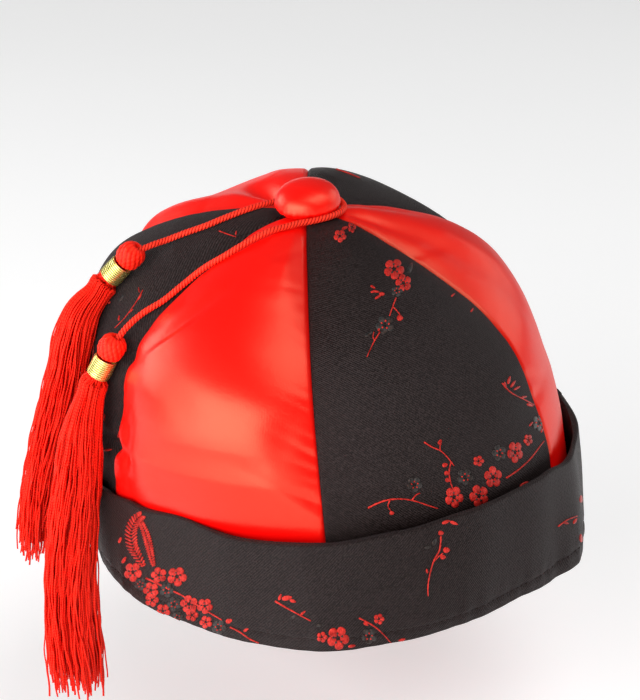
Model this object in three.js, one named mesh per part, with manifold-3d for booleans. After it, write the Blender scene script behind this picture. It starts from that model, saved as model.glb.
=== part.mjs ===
import * as THREE from "three";
import { mergeVertices } from "three/addons/utils/BufferGeometryUtils.js";
import Module from "manifold-3d";

// Sizes are in millimetres. X runs to the viewer's right, Y away from the front of the hat, Z up.
// The origin is the centre of the head opening, level with the underside of the rim.
// Directions round the hat are plan angles in degrees: 0 is the front, 90 the viewer's right, 180 the back.

const RAD = Math.PI / 180;
const GAP = 0.3;

const CROWN = {
  wall: 1.5,
  apexX: -8.5,
  apexY: -3,
  frontStretch: 1.055,
  backStretch: 1.04,
  holeRadius: 5,
  rows: 18,
  columns: 10,
};

const CUFF = {
  halfWidth: 97,
  frontDepth: 103.6,
  backDepth: 101,
  height: 40,
  wall: 2.2,
  lipHeight: 10,
  steps: 72,
};

const BUTTON = { sides: 18, radius: 12.3, dome: 10.6, tilt: 7, shank: 3.6, shankDepth: 7, height: 134.8 };
const CORD = { diameter: 2.4, sides: 8 };
const HEAD = { radius: 5.2, length: 9.2, bore: 1.65 };
const WRAP = { radius: 4.6, bore: 3.8, length: 7.8 };

// The line of a seam from the crown's top to its foot, as radius and height. The front line serves from
// -66 to 66 degrees; behind it the crown is fuller, most of all at the centre back and on the left.
const FRONT_LINE = [
  [0, 133], [11.5, 131.4], [22, 128], [34, 121.8], [44, 116.4], [54, 110.2], [64.5, 103], [72, 95.6],
  [78, 87.6], [82, 78.5], [84.8, 68.5], [87.6, 59], [89.8, 49], [90.8, 38], [91, 22], [91.2, 3.2],
];
const SEAMS = [
  { at: 66, line: FRONT_LINE },
  {
    at: 119,
    line: [
      [0, 133], [11.5, 132], [22, 130], [34, 126.4], [44, 122.4], [55, 117.4], [64.6, 111], [72.4, 103],
      [77.4, 93.4], [80.8, 82.8], [83.2, 72.4], [85.8, 61.8], [88.6, 50.6], [90.4, 38.6], [91, 22], [91.2, 3.2],
    ],
  },
  {
    at: 180,
    line: [
      [0, 133], [11.5, 133.6], [22, 135], [34, 135.2], [44, 133.2], [54, 128.4], [64, 120.4], [72.5, 110.8],
      [78.6, 99.8], [83.2, 88.8], [86.4, 77], [88.8, 64.6], [90.4, 52], [91.2, 39], [91, 22], [91.2, 3.2],
    ],
  },
  {
    at: 241,
    line: [
      [0, 133], [11.5, 131.8], [22, 129.8], [34, 127], [44, 124], [55.4, 120.4], [68, 115], [78.6, 108.4],
      [84.8, 99], [87.6, 87.4], [90, 76], [91.4, 64.4], [91.8, 52], [91.6, 39], [91.2, 22], [91.2, 3.2],
    ],
  },
  { at: 294, line: FRONT_LINE },
];
const APEX = SEAMS[0].line[0][1];
const FOOT = SEAMS[0].line[SEAMS[0].line.length - 1][0];

// How full a panel stands between its seams: the share of its upper and of its lower fullness from the
// top of the crown (0) to its foot (1).
const UPPER = [[0, 0], [0.06, 0.04], [0.12, 0.4], [0.2, 0.8], [0.3, 1], [0.42, 0.8], [0.56, 0.2], [0.64, 0], [1, 0]];
const LOWER = [[0, 0], [0.3, 0], [0.42, 0.2], [0.56, 0.85], [0.64, 1], [0.72, 0.8], [0.78, 0.42], [0.85, 0], [1, 0]];

// The six panels: the seams on both sides, how far the middle stands out above and below, and the cloth.
const PANELS = [
  { name: "panel_front_left_red", from: -64.6, to: -1.9, upper: 7.5, lower: 7, cloth: "red" },
  { name: "panel_front_right_black", from: -1.9, to: 66.1, upper: 7, lower: 6.5, cloth: "black" },
  { name: "panel_right_red", from: 66.1, to: 121, upper: 3.6, lower: 1.7, cloth: "red" },
  { name: "panel_back_right_black", from: 121, to: 179, upper: 1.2, lower: 4.5, cloth: "black" },
  { name: "panel_back_left_red", from: 179, to: 241, upper: 1.6, lower: 5.5, cloth: "red" },
  { name: "panel_left_black", from: 241, to: 295.4, upper: 6, lower: 5.4, cloth: "black" },
];

// Soft dents (minus) and swells (plus) of the panels: where across (-1 to 1) and down (0 to 1), half widths
// the same way, the lean of the fold and its depth in mm.
const FOLDS = [
  { panel: "panel_front_left_red", s: -0.55, u: 0.42, ds: 0.3, du: 0.05, lean: 0.12, depth: -1.6 },
  { panel: "panel_front_left_red", s: -0.72, u: 0.72, ds: 0.1, du: 0.12, lean: 0, depth: -2 },
  { panel: "panel_front_left_red", s: -0.5, u: 0.78, ds: 0.2, du: 0.08, lean: 0, depth: 1.6 },
  { panel: "panel_front_left_red", s: 0.8, u: 0.6, ds: 0.16, du: 0.05, lean: -0.1, depth: -1.4 },
  { panel: "panel_right_red", s: -0.35, u: 0.3, ds: 0.12, du: 0.16, lean: 0, depth: -1.6 },
  { panel: "panel_right_red", s: 0.1, u: 0.72, ds: 0.3, du: 0.07, lean: 0.05, depth: 2 },
  { panel: "panel_back_left_red", s: 0.2, u: 0.22, ds: 0.36, du: 0.14, lean: 0.05, depth: -2.4 },
  { panel: "panel_back_left_red", s: 0.75, u: 0.4, ds: 0.28, du: 0.14, lean: 0, depth: 4.6 },
  { panel: "panel_left_black", s: 0.4, u: 0.5, ds: 0.2, du: 0.12, lean: 0, depth: -1.4 },
  { panel: "panel_back_right_black", s: 0.2, u: 0.18, ds: 0.5, du: 0.08, lean: 0, depth: -2.4 },
  { panel: "panel_back_right_black", s: -0.2, u: 0.5, ds: 0.3, du: 0.08, lean: 0.1, depth: -1.4 },
];

// The cuff's own shape round the hat: plan angle, how far its foot and its top edge stand outside the
// even oval, and how much taller it is than its common height.
const CUFF_SHAPE = [
  { at: -90, foot: 0, top: 2.4, lift: -4 },
  { at: -74, foot: 0, top: 1.6, lift: -4.6 },
  { at: -62, foot: 0.4, top: 0.6, lift: -0.6 },
  { at: -50, foot: 0.7, top: 0.6, lift: 2.9 },
  { at: -36, foot: -1, top: -0.6, lift: 3.4 },
  { at: -20, foot: 0.4, top: 0.2, lift: 1 },
  { at: -4, foot: 1.8, top: 0.8, lift: 3 },
  { at: 11, foot: 1, top: 0.4, lift: 4.8 },
  { at: 26, foot: -0.6, top: -1, lift: 5.9 },
  { at: 41, foot: -2.2, top: -1.8, lift: 5.8 },
  { at: 54, foot: -1.6, top: -1.6, lift: 5.4 },
  { at: 65, foot: 3, top: -0.6, lift: 2.8 },
  { at: 76, foot: 1.8, top: -0.8, lift: 1.8 },
  { at: 94, foot: -1.4, top: -2.2, lift: 1 },
  { at: 108, foot: -1.2, top: -1.6, lift: -0.6 },
  { at: 119, foot: -0.8, top: -1.8, lift: -2 },
  { at: 130, foot: 0, top: 0.6, lift: 0.4 },
  { at: 155, foot: 0.6, top: 1.6, lift: 1 },
  { at: 185, foot: 0, top: 0.2, lift: 0 },
  { at: 215, foot: 0.6, top: 1.4, lift: -1 },
  { at: 245, foot: 0.2, top: 1.6, lift: -2 },
];

// The cords, from behind the button to the tassels' heads. The front cord passes the button's right side
// and its front before it runs left.
const CORDS = [
  {
    name: "cord_front",
    steps: 44,
    line: [
      [-6.6, 10.9, 135.7], [-1.5, 9.1, 134.8], [3.6, 4, 134], [5.6, -3, 133.6], [4, -9.7, 133.7],
      [-0.6, -14.6, 133.7], [-6.2, -17.2, 133.4], [-11.5, -19.2, 133.4], [-16.4, -21.8, 133.2], [-21.9, -24.5, 132.8],
      [-27.5, -26.4, 131], [-33, -28.2, 128.7], [-39, -29.3, 125.5], [-46.7, -27.9, 120.6], [-54.6, -26.9, 114.2],
      [-62.6, -28.7, 108.5], [-70.3, -30.8, 104.6], [-76.2, -33.9, 100.6], [-80.6, -36.2, 95.9],
    ],
  },
  {
    name: "cord_back",
    steps: 26,
    line: [
      [-10.4, 11, 135.7], [-14.5, 9.9, 134.6], [-18.9, 6.7, 133.6], [-22.6, 3.6, 133.6], [-26.2, 0.8, 133.8],
      [-31.4, -1.9, 133.2], [-39.4, -3.8, 131], [-47, -5.2, 128.5], [-54.6, -5.1, 126], [-61.6, -6, 123.8],
      [-67, -8.6, 123], [-73.2, -11, 121.3],
    ],
  },
];

// The tassels: the middle of the head, the way it points, and the fringe's middle line with its half width
// across and its half thickness.
const TASSELS = [
  {
    number: 1,
    head: [-75, -10.2, 119.8],
    points: [-0.68, 0.12, -0.72],
    fringe: [
      [-88.6, -10, 105.2, 5, 4.6], [-94.6, -12, 98.4, 6.6, 6.2], [-98.9, -15.2, 88.4, 7.4, 6.9],
      [-101.7, -17, 77.2, 7.6, 7.2], [-105.9, -17.4, 60.8, 7.9, 7.4], [-110.6, -17, 43.6, 8, 7.6],
      [-115.9, -16, 26.2, 7.8, 7.6], [-120.4, -15, 9.5, 7.2, 7], [-122.8, -14.6, -1.6, 6.6, 6.4],
    ],
  },
  {
    number: 2,
    head: [-82.1, -35.9, 93.5],
    points: [-0.48, 0.05, -0.875],
    fringe: [
      [-91.4, -36.6, 74.4, 5.4, 5.2], [-94.8, -39.6, 62.5, 7.6, 7.2], [-97.6, -41.8, 46.6, 9, 8],
      [-100.6, -43.6, 27, 9.4, 8.2], [-102.9, -44, 6.4, 9.8, 8.4], [-104.4, -43.6, -14, 10.2, 8.6],
      [-105.2, -43, -32, 10.2, 8.6], [-105.4, -43, -46.5, 9.6, 8.2],
    ],
  },
];
const FRINGE = { locks: 8, sides: 32, groove: 0.1, ragged: [0, 5.5, 1.5, 7, 3, 0.5, 6, 2.5], notch: 6, hollow: 14 };

// ---- small helpers

// How far two plan angles are apart, from 0 to 180.
function around(at, angle) {
  return Math.abs(((((angle - at) % 360) + 540) % 360) - 180);
}

function smooth(a, b, x) {
  const t = Math.min(1, Math.max(0, (x - a) / (b - a)));
  return t * t * (3 - 2 * t);
}

// A value read from rows of [key, value], joined by straight lines.
function read(rows, key) {
  if (key <= rows[0][0]) return rows[0][1];
  for (let i = 1; i < rows.length; i++) {
    if (key <= rows[i][0]) {
      const t = (key - rows[i - 1][0]) / (rows[i][0] - rows[i - 1][0]);
      return rows[i - 1][1] + t * (rows[i][1] - rows[i - 1][1]);
    }
  }
  return rows[rows.length - 1][1];
}

// A point of a rounded line through rows of [radius, height], at t from 0 to 1.
function along(rows, t) {
  const n = rows.length - 1;
  const f = Math.min(n - 1e-9, Math.max(0, t * n));
  const i = Math.floor(f);
  const k = f - i;
  const p = [i - 1, i, i + 1, i + 2].map((j) => rows[Math.min(n, Math.max(0, j))]);
  return [0, 1].map((c) => {
    const [a, b, d, e] = p.map((q) => q[c]);
    return 0.5 * (2 * b + (d - a) * k + (2 * a - 5 * b + 4 * d - e) * k * k + (3 * b - a - 3 * d + e) * k * k * k);
  });
}

// A closed mesh from a grid of points; rows and columns may each wrap round, and open rows are capped.
function gridMesh(points, wrapRows) {
  const rows = points.length;
  const columns = points[0].length;
  const position = points.flat().flatMap((p) => [p.x, p.y, p.z]);
  const index = [];
  const id = (i, j) => (i % rows) * columns + (j % columns);
  for (let i = 0; i < (wrapRows ? rows : rows - 1); i++) {
    for (let j = 0; j < columns; j++) {
      index.push(id(i, j), id(i, j + 1), id(i + 1, j + 1), id(i, j), id(i + 1, j + 1), id(i + 1, j));
    }
  }
  if (!wrapRows) {
    for (const [row, turn] of [[0, 1], [rows - 1, 0]]) {
      const centre = points[row].reduce((sum, p) => sum.add(p), new THREE.Vector3()).divideScalar(columns);
      position.push(centre.x, centre.y, centre.z);
      const c = position.length / 3 - 1;
      for (let j = 0; j < columns; j++) {
        if (turn) index.push(c, id(row, j + 1), id(row, j));
        else index.push(c, id(row, j), id(row, j + 1));
      }
    }
  }
  const geometry = new THREE.BufferGeometry();
  geometry.setAttribute("position", new THREE.Float32BufferAttribute(position, 3));
  geometry.setIndex(index);
  if (volumeOf(geometry) < 0) {
    for (let i = 0; i < index.length; i += 3) [index[i + 1], index[i + 2]] = [index[i + 2], index[i + 1]];
    geometry.setIndex(index);
  }
  return geometry;
}

function volumeOf(geometry) {
  const p = geometry.getAttribute("position");
  const k = geometry.getIndex().array;
  const [a, b, c] = [new THREE.Vector3(), new THREE.Vector3(), new THREE.Vector3()];
  let volume = 0;
  for (let i = 0; i < k.length; i += 3) {
    a.fromBufferAttribute(p, k[i]);
    b.fromBufferAttribute(p, k[i + 1]);
    c.fromBufferAttribute(p, k[i + 2]);
    volume += a.dot(b.cross(c)) / 6;
  }
  return volume;
}

const CLOTH = {
  red: new THREE.MeshStandardMaterial({ color: 0xd9200f, roughness: 0.4 }),
  black: new THREE.MeshStandardMaterial({ color: 0x222024, roughness: 0.6 }),
  gold: new THREE.MeshStandardMaterial({ color: 0xd8b64a, roughness: 0.35, metalness: 0.6 }),
  thread: new THREE.MeshStandardMaterial({ color: 0xe01c10, roughness: 0.55 }),
};

const hat = new THREE.Group();

function add(name, geometry, cloth) {
  const mesh = new THREE.Mesh(geometry, CLOTH[cloth].clone());
  mesh.name = name;
  hat.add(mesh);
  return mesh;
}

// ---- the crown

// The seam line's radius and height at a plan angle, and the direction that stands square to it.
function meridian(angle, u) {
  const turn = ((angle % 360) + 360) % 360;
  let k = 0;
  while (k < SEAMS.length - 2 && turn > SEAMS[k + 1].at) k++;
  const blend = smooth(SEAMS[k].at, SEAMS[k + 1].at, turn);
  const at = (t) => {
    const a = along(SEAMS[k].line, t);
    const b = along(SEAMS[k + 1].line, t);
    return [a[0] + (b[0] - a[0]) * blend, a[1] + (b[1] - a[1]) * blend];
  };
  const [r, z] = at(u);
  const [r0, z0] = at(Math.max(0, u - 0.012));
  const [r1, z1] = at(Math.min(1, u + 0.012));
  const length = Math.hypot(r1 - r0, z1 - z0);
  return { r, z, outR: (z0 - z1) / length, outZ: (r1 - r0) / length };
}

// The point of plan angle, radius and height on the crown, which leans towards its apex above the cuff.
function place(angle, r, z) {
  const lean = (z / APEX) * smooth(6, 36, z);
  const stretch = Math.cos(angle * RAD) > 0 ? CROWN.frontStretch : CROWN.backStretch;
  return new THREE.Vector3(
    r * Math.sin(angle * RAD) + CROWN.apexX * lean,
    -r * Math.cos(angle * RAD) * stretch + CROWN.apexY * lean,
    z,
  );
}

// How far a panel stands off its seams at s across (-1 to 1) and u down (0 to 1).
function fullness(panel, s, u) {
  const share = panel.upper * read(UPPER, u) + panel.lower * read(LOWER, u);
  let out = share * (1 - Math.abs(s) ** 2.3);
  for (const fold of FOLDS) {
    if (fold.panel !== panel.name) continue;
    const a = (s - fold.s) / fold.ds;
    const b = (u - fold.u - fold.lean * (s - fold.s)) / fold.du;
    out += fold.depth * Math.exp(-a * a - b * b) * (1 - s * s * s * s) * smooth(0.98, 0.86, u);
  }
  return out;
}

// A point of a panel: s across, u down, and depth below its outer face.
function panelPoint(panel, s, u, depth) {
  const mid = meridian((panel.from + panel.to) / 2, u);
  const inset = (GAP / 2 + 0.03) / Math.max(mid.r, 1) / RAD;
  const a = panel.from + inset;
  const b = panel.to - inset;
  const angle = a + ((b - a) * (s + 1)) / 2;
  const line = meridian(angle, u);
  const out = fullness(panel, s, u) - depth;
  return place(angle, line.r + line.outR * out, line.z + line.outZ * out);
}

function panelGeometry(panel) {
  const rows = [];
  const start = CROWN.holeRadius / 11.5 / (SEAMS[0].line.length - 1);
  for (let i = 0; i <= CROWN.rows; i++) {
    const u = start + ((1 - start) * i) / CROWN.rows;
    const ring = [];
    for (let j = 0; j <= CROWN.columns; j++) ring.push(panelPoint(panel, -1 + (2 * j) / CROWN.columns, u, 0));
    for (let j = CROWN.columns; j >= 0; j--) ring.push(panelPoint(panel, -1 + (2 * j) / CROWN.columns, u, CROWN.wall));
    rows.push(ring);
  }
  return stripCapped(rows);
}

// A closed mesh from rings that are flat strips, each ring's ends closed by a strip instead of a fan.
function stripCapped(rings) {
  const columns = rings[0].length;
  const half = columns / 2;
  const position = rings.flat().flatMap((p) => [p.x, p.y, p.z]);
  const index = [];
  const id = (i, j) => i * columns + (j % columns);
  for (let i = 0; i < rings.length - 1; i++) {
    for (let j = 0; j < columns; j++) {
      index.push(id(i, j), id(i, j + 1), id(i + 1, j + 1), id(i, j), id(i + 1, j + 1), id(i + 1, j));
    }
  }
  for (const [row, turn] of [[0, 1], [rings.length - 1, 0]]) {
    for (let j = 0; j < half - 1; j++) {
      const [a, b, c, d] = [id(row, j), id(row, j + 1), id(row, columns - 2 - j), id(row, columns - 1 - j)];
      if (turn) index.push(a, c, b, a, d, c);
      else index.push(a, b, c, a, c, d);
    }
  }
  const geometry = new THREE.BufferGeometry();
  geometry.setAttribute("position", new THREE.Float32BufferAttribute(position, 3));
  geometry.setIndex(index);
  if (volumeOf(geometry) < 0) {
    for (let i = 0; i < index.length; i += 3) [index[i + 1], index[i + 2]] = [index[i + 2], index[i + 1]];
    geometry.setIndex(index);
  }
  return geometry;
}

for (const panel of PANELS) add(panel.name, panelGeometry(panel), panel.cloth);

// ---- the cuff, a band folded up at the rim, with a short lip inside

// One column of the cuff's table at a plan angle, carried smoothly from row to row.
function cuffShape(angle, column) {
  const n = CUFF_SHAPE.length;
  const turn = ((((angle - CUFF_SHAPE[0].at) % 360) + 360) % 360) + CUFF_SHAPE[0].at;
  for (let i = 0; i < n; i++) {
    const a = CUFF_SHAPE[i];
    const b = CUFF_SHAPE[(i + 1) % n];
    const end = i + 1 < n ? b.at : b.at + 360;
    if (turn <= end) return a[column] + (b[column] - a[column]) * smooth(a.at, end, turn);
  }
  return CUFF_SHAPE[0][column];
}

function cuffRadius(angle) {
  const c = Math.cos(angle * RAD);
  const s = Math.sin(angle * RAD);
  const depth = c > 0 ? CUFF.frontDepth : CUFF.backDepth;
  return 1 / Math.hypot(s / CUFF.halfWidth, c / depth);
}

function crownFoot(angle) {
  const c = Math.cos(angle * RAD);
  const s = Math.sin(angle * RAD);
  const stretch = c > 0 ? CROWN.frontStretch : CROWN.backStretch;
  return FOOT / Math.hypot(s, c / stretch);
}

function cuffSection(angle) {
  const height = CUFF.height + cuffShape(angle, "lift");
  const foot = cuffRadius(angle) + cuffShape(angle, "foot");
  const top = cuffRadius(angle) - 0.8 + cuffShape(angle, "top");
  const face = (t) => foot + (top - foot) * t + 0.9 * Math.sin(Math.PI * t);
  const inside = crownFoot(angle) - CROWN.wall - GAP - 0.4;
  const w = CUFF.wall;
  return [
    [foot - 1, 0],
    [face(0), 1.2],
    [face(0.15), height * 0.15],
    [face(0.42), height * 0.42],
    [face(0.72), height * 0.72],
    [face(0.97), height - 1],
    [face(1) - w / 2, height],
    [face(0.97) - w, height - 1],
    [face(0.6) - w, height * 0.6],
    [face(0.25) - w, height * 0.25],
    [Math.max(foot - w, inside + CROWN.wall + 2 * GAP + 0.3), 2.2],
    [inside, 2.2],
    [inside, CUFF.lipHeight - 0.8],
    [inside - 0.9, CUFF.lipHeight],
    [inside - 1.8, CUFF.lipHeight - 0.8],
    [inside - 1.8, 1],
    [inside - 0.8, 0],
  ];
}

function cuffGeometry() {
  const rings = [];
  for (let i = 0; i < CUFF.steps; i++) {
    const angle = (360 * i) / CUFF.steps;
    const s = Math.sin(angle * RAD);
    const c = Math.cos(angle * RAD);
    rings.push(cuffSection(angle).map(([r, z]) => new THREE.Vector3(r * s, -r * c, z)));
  }
  return gridMesh(rings, true);
}

add("cuff", cuffGeometry(), "black");

// ---- the covered button

function buttonGeometry() {
  const { radius, dome, shank, shankDepth } = BUTTON;
  const profile = [
    [0.01, -shankDepth], [shank, -shankDepth], [shank, -0.6], [radius - 2.6, 0], [radius - 0.9, 0.9],
    [radius, 2.6], [radius - 0.35, dome * 0.4], [radius - 1.7, dome * 0.6], [radius - 3.9, dome * 0.78],
    [radius - 6.8, dome * 0.91], [radius - 9.6, dome * 0.98], [0.01, dome],
  ];
  const rings = profile.map(([r, z]) => {
    const ring = [];
    for (let j = 0; j < BUTTON.sides; j++) {
      const a = (2 * Math.PI * j) / BUTTON.sides;
      ring.push(new THREE.Vector3(r * Math.cos(a), r * Math.sin(a), z));
    }
    return ring;
  });
  return gridMesh(rings, false);
}

const button = buttonGeometry();
button.rotateX(BUTTON.tilt * RAD);
button.translate(CROWN.apexX, CROWN.apexY, BUTTON.height);
add("button", button, "red");

// ---- the cords

const wasm = await Module();
wasm.setup();

function solidOf(geometry) {
  const plain = new THREE.BufferGeometry().setAttribute("position", geometry.getAttribute("position"));
  plain.setIndex(geometry.getIndex());
  const merged = mergeVertices(plain, 1e-3);
  return new wasm.Manifold(
    new wasm.Mesh({
      numProp: 3,
      vertProperties: merged.getAttribute("position").array,
      triVerts: new Uint32Array(merged.getIndex().array),
    }),
  );
}

function geometryOf(solid) {
  const mesh = solid.getMesh();
  const position = new Float32Array(mesh.numVert * 3);
  for (let i = 0; i < mesh.numVert; i++) {
    position.set(mesh.vertProperties.subarray(i * mesh.numProp, i * mesh.numProp + 3), i * 3);
  }
  const geometry = new THREE.BufferGeometry();
  geometry.setAttribute("position", new THREE.BufferAttribute(position, 3));
  geometry.setIndex(new THREE.BufferAttribute(mesh.triVerts, 1));
  return geometry;
}

function cordCurve(cord) {
  return new THREE.CatmullRomCurve3(cord.line.map((p) => new THREE.Vector3(...p)), false, "centripetal");
}

for (const cord of CORDS) {
  const round = new THREE.Shape();
  for (let i = 0; i < CORD.sides; i++) {
    const a = (2 * Math.PI * i) / CORD.sides;
    const [x, y] = [(CORD.diameter / 2) * Math.cos(a), (CORD.diameter / 2) * Math.sin(a)];
    if (i === 0) round.moveTo(x, y);
    else round.lineTo(x, y);
  }
  round.closePath();
  const tube = new THREE.ExtrudeGeometry(round, {
    steps: cord.steps,
    extrudePath: cordCurve(cord),
    bevelEnabled: false,
    curveSegments: 1,
  });
  add(cord.name, tube, "thread");
}

// ---- the tassels

// A closed turned shape round the line from a point along a direction, from rows of [radius, distance].
function turned(profile, from, along, sides, rib, closed) {
  const z = along.clone().normalize();
  const x = new THREE.Vector3(0, 1, 0).addScaledVector(z, -z.y).normalize();
  const y = new THREE.Vector3().crossVectors(z, x);
  const rings = profile.map(([r, d]) => {
    const ring = [];
    for (let j = 0; j < sides; j++) {
      const a = (2 * Math.PI * j) / sides;
      const k = r * (1 + (j % 2 ? -rib : rib));
      ring.push(
        from.clone().addScaledVector(z, d).addScaledVector(x, k * Math.cos(a)).addScaledVector(y, k * Math.sin(a)),
      );
    }
    return ring;
  });
  return gridMesh(rings, closed);
}

function headGeometry(top, way, cord) {
  const { radius, length } = HEAD;
  const profile = [
    [1.2, 0], [3.2, 0.5], [4.6, 1.9], [radius, 3.9], [radius, 5.6], [4.7, 7.5], [3.9, 8.7], [2.6, length],
  ];
  const body = solidOf(turned(profile, top, way, 16, 0.025, false));
  const curve = cordCurve(cord);
  const tip = curve.getPoint(1);
  const back = curve.getTangent(1).negate();
  const bore = turned([[HEAD.bore, -0.4], [HEAD.bore, 9]], tip, back, 12, 0, false);
  return geometryOf(body.subtract(solidOf(bore)));
}

function wrapGeometry(top, way) {
  const { radius, bore, length } = WRAP;
  const profile = [
    [bore, 0], [radius - 0.3, 0], [radius, 0.7], [radius - 0.15, length * 0.34], [radius, length * 0.5],
    [radius - 0.15, length * 0.66], [radius, length - 0.7], [radius - 0.3, length], [bore, length],
  ];
  return turned(profile, top, way, 16, 0, true);
}

// The fringe: a neck inside the wrap that opens into locks, each with its own length.
function fringeGeometry(neck, way, rows) {
  const z0 = way.clone().normalize();
  const stations = [
    { p: neck, a: WRAP.bore - 0.45, b: WRAP.bore - 0.45, groove: 0 },
    { p: neck.clone().addScaledVector(z0, WRAP.length + 0.9), a: WRAP.bore - 0.4, b: WRAP.bore - 0.4, groove: 0.3 },
  ];
  for (const [x, y, z, a, b] of rows) stations.push({ p: new THREE.Vector3(x, y, z), a, b, groove: 1 });
  const n = stations.length;
  const rings = stations.map((s, i) => {
    const before = stations[Math.max(0, i - 1)].p;
    const after = stations[Math.min(n - 1, i + 1)].p;
    const t = i < 2 ? z0 : new THREE.Vector3().subVectors(after, before).normalize();
    const across = new THREE.Vector3(1, 0, 0).addScaledVector(t, -t.x).normalize();
    const deep = new THREE.Vector3().crossVectors(t, across);
    const ring = [];
    for (let j = 0; j < FRINGE.sides; j++) {
      const angle = (2 * Math.PI * j) / FRINGE.sides;
      const wave = 0.5 - 0.5 * Math.cos(FRINGE.locks * angle + Math.PI);
      const k = 1 - FRINGE.groove * 2 * s.groove * (1 - wave);
      const point = s.p.clone();
      point.addScaledVector(across, s.a * k * Math.cos(angle)).addScaledVector(deep, s.b * k * Math.sin(angle));
      if (i === n - 1) {
        const lock = Math.floor((j / FRINGE.sides) * FRINGE.locks + 0.5) % FRINGE.locks;
        point.addScaledVector(t, -FRINGE.ragged[lock] - FRINGE.notch * (1 - wave));
      }
      ring.push(point);
    }
    return ring;
  });
  const last = stations[n - 1].p.clone().addScaledVector(
    new THREE.Vector3().subVectors(stations[n - 1].p, stations[n - 2].p).normalize(),
    -FRINGE.hollow,
  );
  rings.push(rings[n - 1].map((p) => p.clone().lerp(last, 0.72)));
  return gridMesh(rings, false);
}

for (const tassel of TASSELS) {
  const way = new THREE.Vector3(...tassel.points).normalize();
  const middle = new THREE.Vector3(...tassel.head);
  const top = middle.clone().addScaledVector(way, -HEAD.length / 2);
  const wrapTop = top.clone().addScaledVector(way, HEAD.length + GAP);
  const cord = CORDS[tassel.number === 1 ? 1 : 0];
  add("tassel_head_" + tassel.number, headGeometry(top, way, cord), "thread");
  add("gold_wrap_" + tassel.number, wrapGeometry(wrapTop, way), "gold");
  add("fringe_" + tassel.number, fringeGeometry(wrapTop.clone().addScaledVector(way, 0.1), way, tassel.fringe), "thread");
}

export default hat;
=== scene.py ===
import logging
import math
from dataclasses import dataclass, field
from enum import Enum
from typing import Callable, Iterable, Optional, Sequence

import bpy
import numpy as np
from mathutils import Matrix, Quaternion, Vector
from mathutils.bvhtree import BVHTree


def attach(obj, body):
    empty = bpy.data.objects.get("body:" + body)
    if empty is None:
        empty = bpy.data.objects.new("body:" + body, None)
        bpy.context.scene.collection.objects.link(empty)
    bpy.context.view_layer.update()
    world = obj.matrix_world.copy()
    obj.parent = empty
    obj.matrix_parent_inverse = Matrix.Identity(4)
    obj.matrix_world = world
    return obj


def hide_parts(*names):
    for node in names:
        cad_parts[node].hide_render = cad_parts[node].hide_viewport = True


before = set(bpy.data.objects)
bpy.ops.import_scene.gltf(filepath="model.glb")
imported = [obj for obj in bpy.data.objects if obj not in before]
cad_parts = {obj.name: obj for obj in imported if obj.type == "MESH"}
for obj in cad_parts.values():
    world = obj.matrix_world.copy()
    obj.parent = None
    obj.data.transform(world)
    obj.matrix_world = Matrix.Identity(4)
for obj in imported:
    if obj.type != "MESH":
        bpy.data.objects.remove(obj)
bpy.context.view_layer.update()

# A six-panel cap of red satin and black brocade: turned-up cuff, covered button, two corded tassels.
# Sizes are in millimetres until a mesh is made. X runs to the viewer's right, Y away from the front, Z up.

logging.basicConfig(level=logging.INFO, format="%(message)s")
log = logging.getLogger("cap")
MM = 0.001
RAD = math.pi / 180
Points = np.ndarray
Faces = np.ndarray
Piece = bpy.types.Object
Finish = bpy.types.Material
Socket = bpy.types.NodeSocket
Finder = Callable[[np.ndarray], tuple[Points, Points]]


class Slot(Enum):
    """The material slots of the record that the pieces take their finish from."""

    SATIN = "red_satin"
    BROCADE = "black_brocade"
    CORD = "red_cord"
    THREAD = "red_thread"
    GOLD = "gold_thread"


class Weft(Enum):
    """The thread that a woven figure shows."""

    RED = "red"
    BLACK = "black"


# Small helpers for meshes and curves


def smooth(low: float, high: float, value: np.ndarray) -> np.ndarray:
    """Eases from 0 at low to 1 at high."""
    t = np.clip((value - low) / (high - low), 0, 1)
    return t * t * (3 - 2 * t)


def unit(vectors: np.ndarray) -> np.ndarray:
    """Scales each row to length 1."""
    return vectors / np.maximum(np.linalg.norm(vectors, axis=-1, keepdims=True), 1e-12)


def run_along(line: Points) -> np.ndarray:
    """Gives how far along a line each of its points is."""
    return np.concatenate([[0], np.cumsum(np.linalg.norm(np.diff(line, axis=0), axis=1))])


def rounded(rows: np.ndarray, t: np.ndarray) -> np.ndarray:
    """Reads a rounded line through evenly spaced rows.

    Args:
        rows: the rows, shape (n, columns).
        t: places along the line, from 0 to 1.

    Returns:
        One row of values for each place.
    """
    last = len(rows) - 1
    f = np.clip(t * last, 0, last - 1e-9)
    i = np.floor(f).astype(int)
    k = (f - i)[..., None]
    a, b, c, d = (rows[np.clip(i + step, 0, last)] for step in (-1, 0, 1, 2))
    return 0.5 * (2 * b + (c - a) * k + (2 * a - 5 * b + 4 * c - d) * k**2 + (3 * b - a - 3 * c + d) * k**3)


def centripetal(points: np.ndarray, per_span: int) -> np.ndarray:
    """Samples the centripetal curve through the points.

    Args:
        points: the curve's points, shape (n, 3).
        per_span: samples between two neighbouring points.

    Returns:
        The samples in order, both ends included.
    """
    before = 2 * points[0] - points[1]
    after = 2 * points[-1] - points[-2]
    p = np.vstack([before, points, after])
    t = np.linspace(0, 1, per_span, endpoint=False)[:, None]
    spans = []
    for i in range(len(points) - 1):
        a, b, c, d = p[i : i + 4]
        ab, bc, cd = (max(np.linalg.norm(w) ** 0.5, 1e-4) for w in (b - a, c - b, d - c))
        start = ((b - a) / ab - (c - a) / (ab + bc) + (c - b) / bc) * bc
        end = ((c - b) / bc - (d - b) / (bc + cd) + (d - c) / cd) * bc
        bend = (3 * (c - b) - 2 * start - end) * t**2 + (2 * (b - c) + start + end) * t**3
        spans.append(b + start * t + bend)
    return np.vstack(spans + [points[-1:]])


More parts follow.
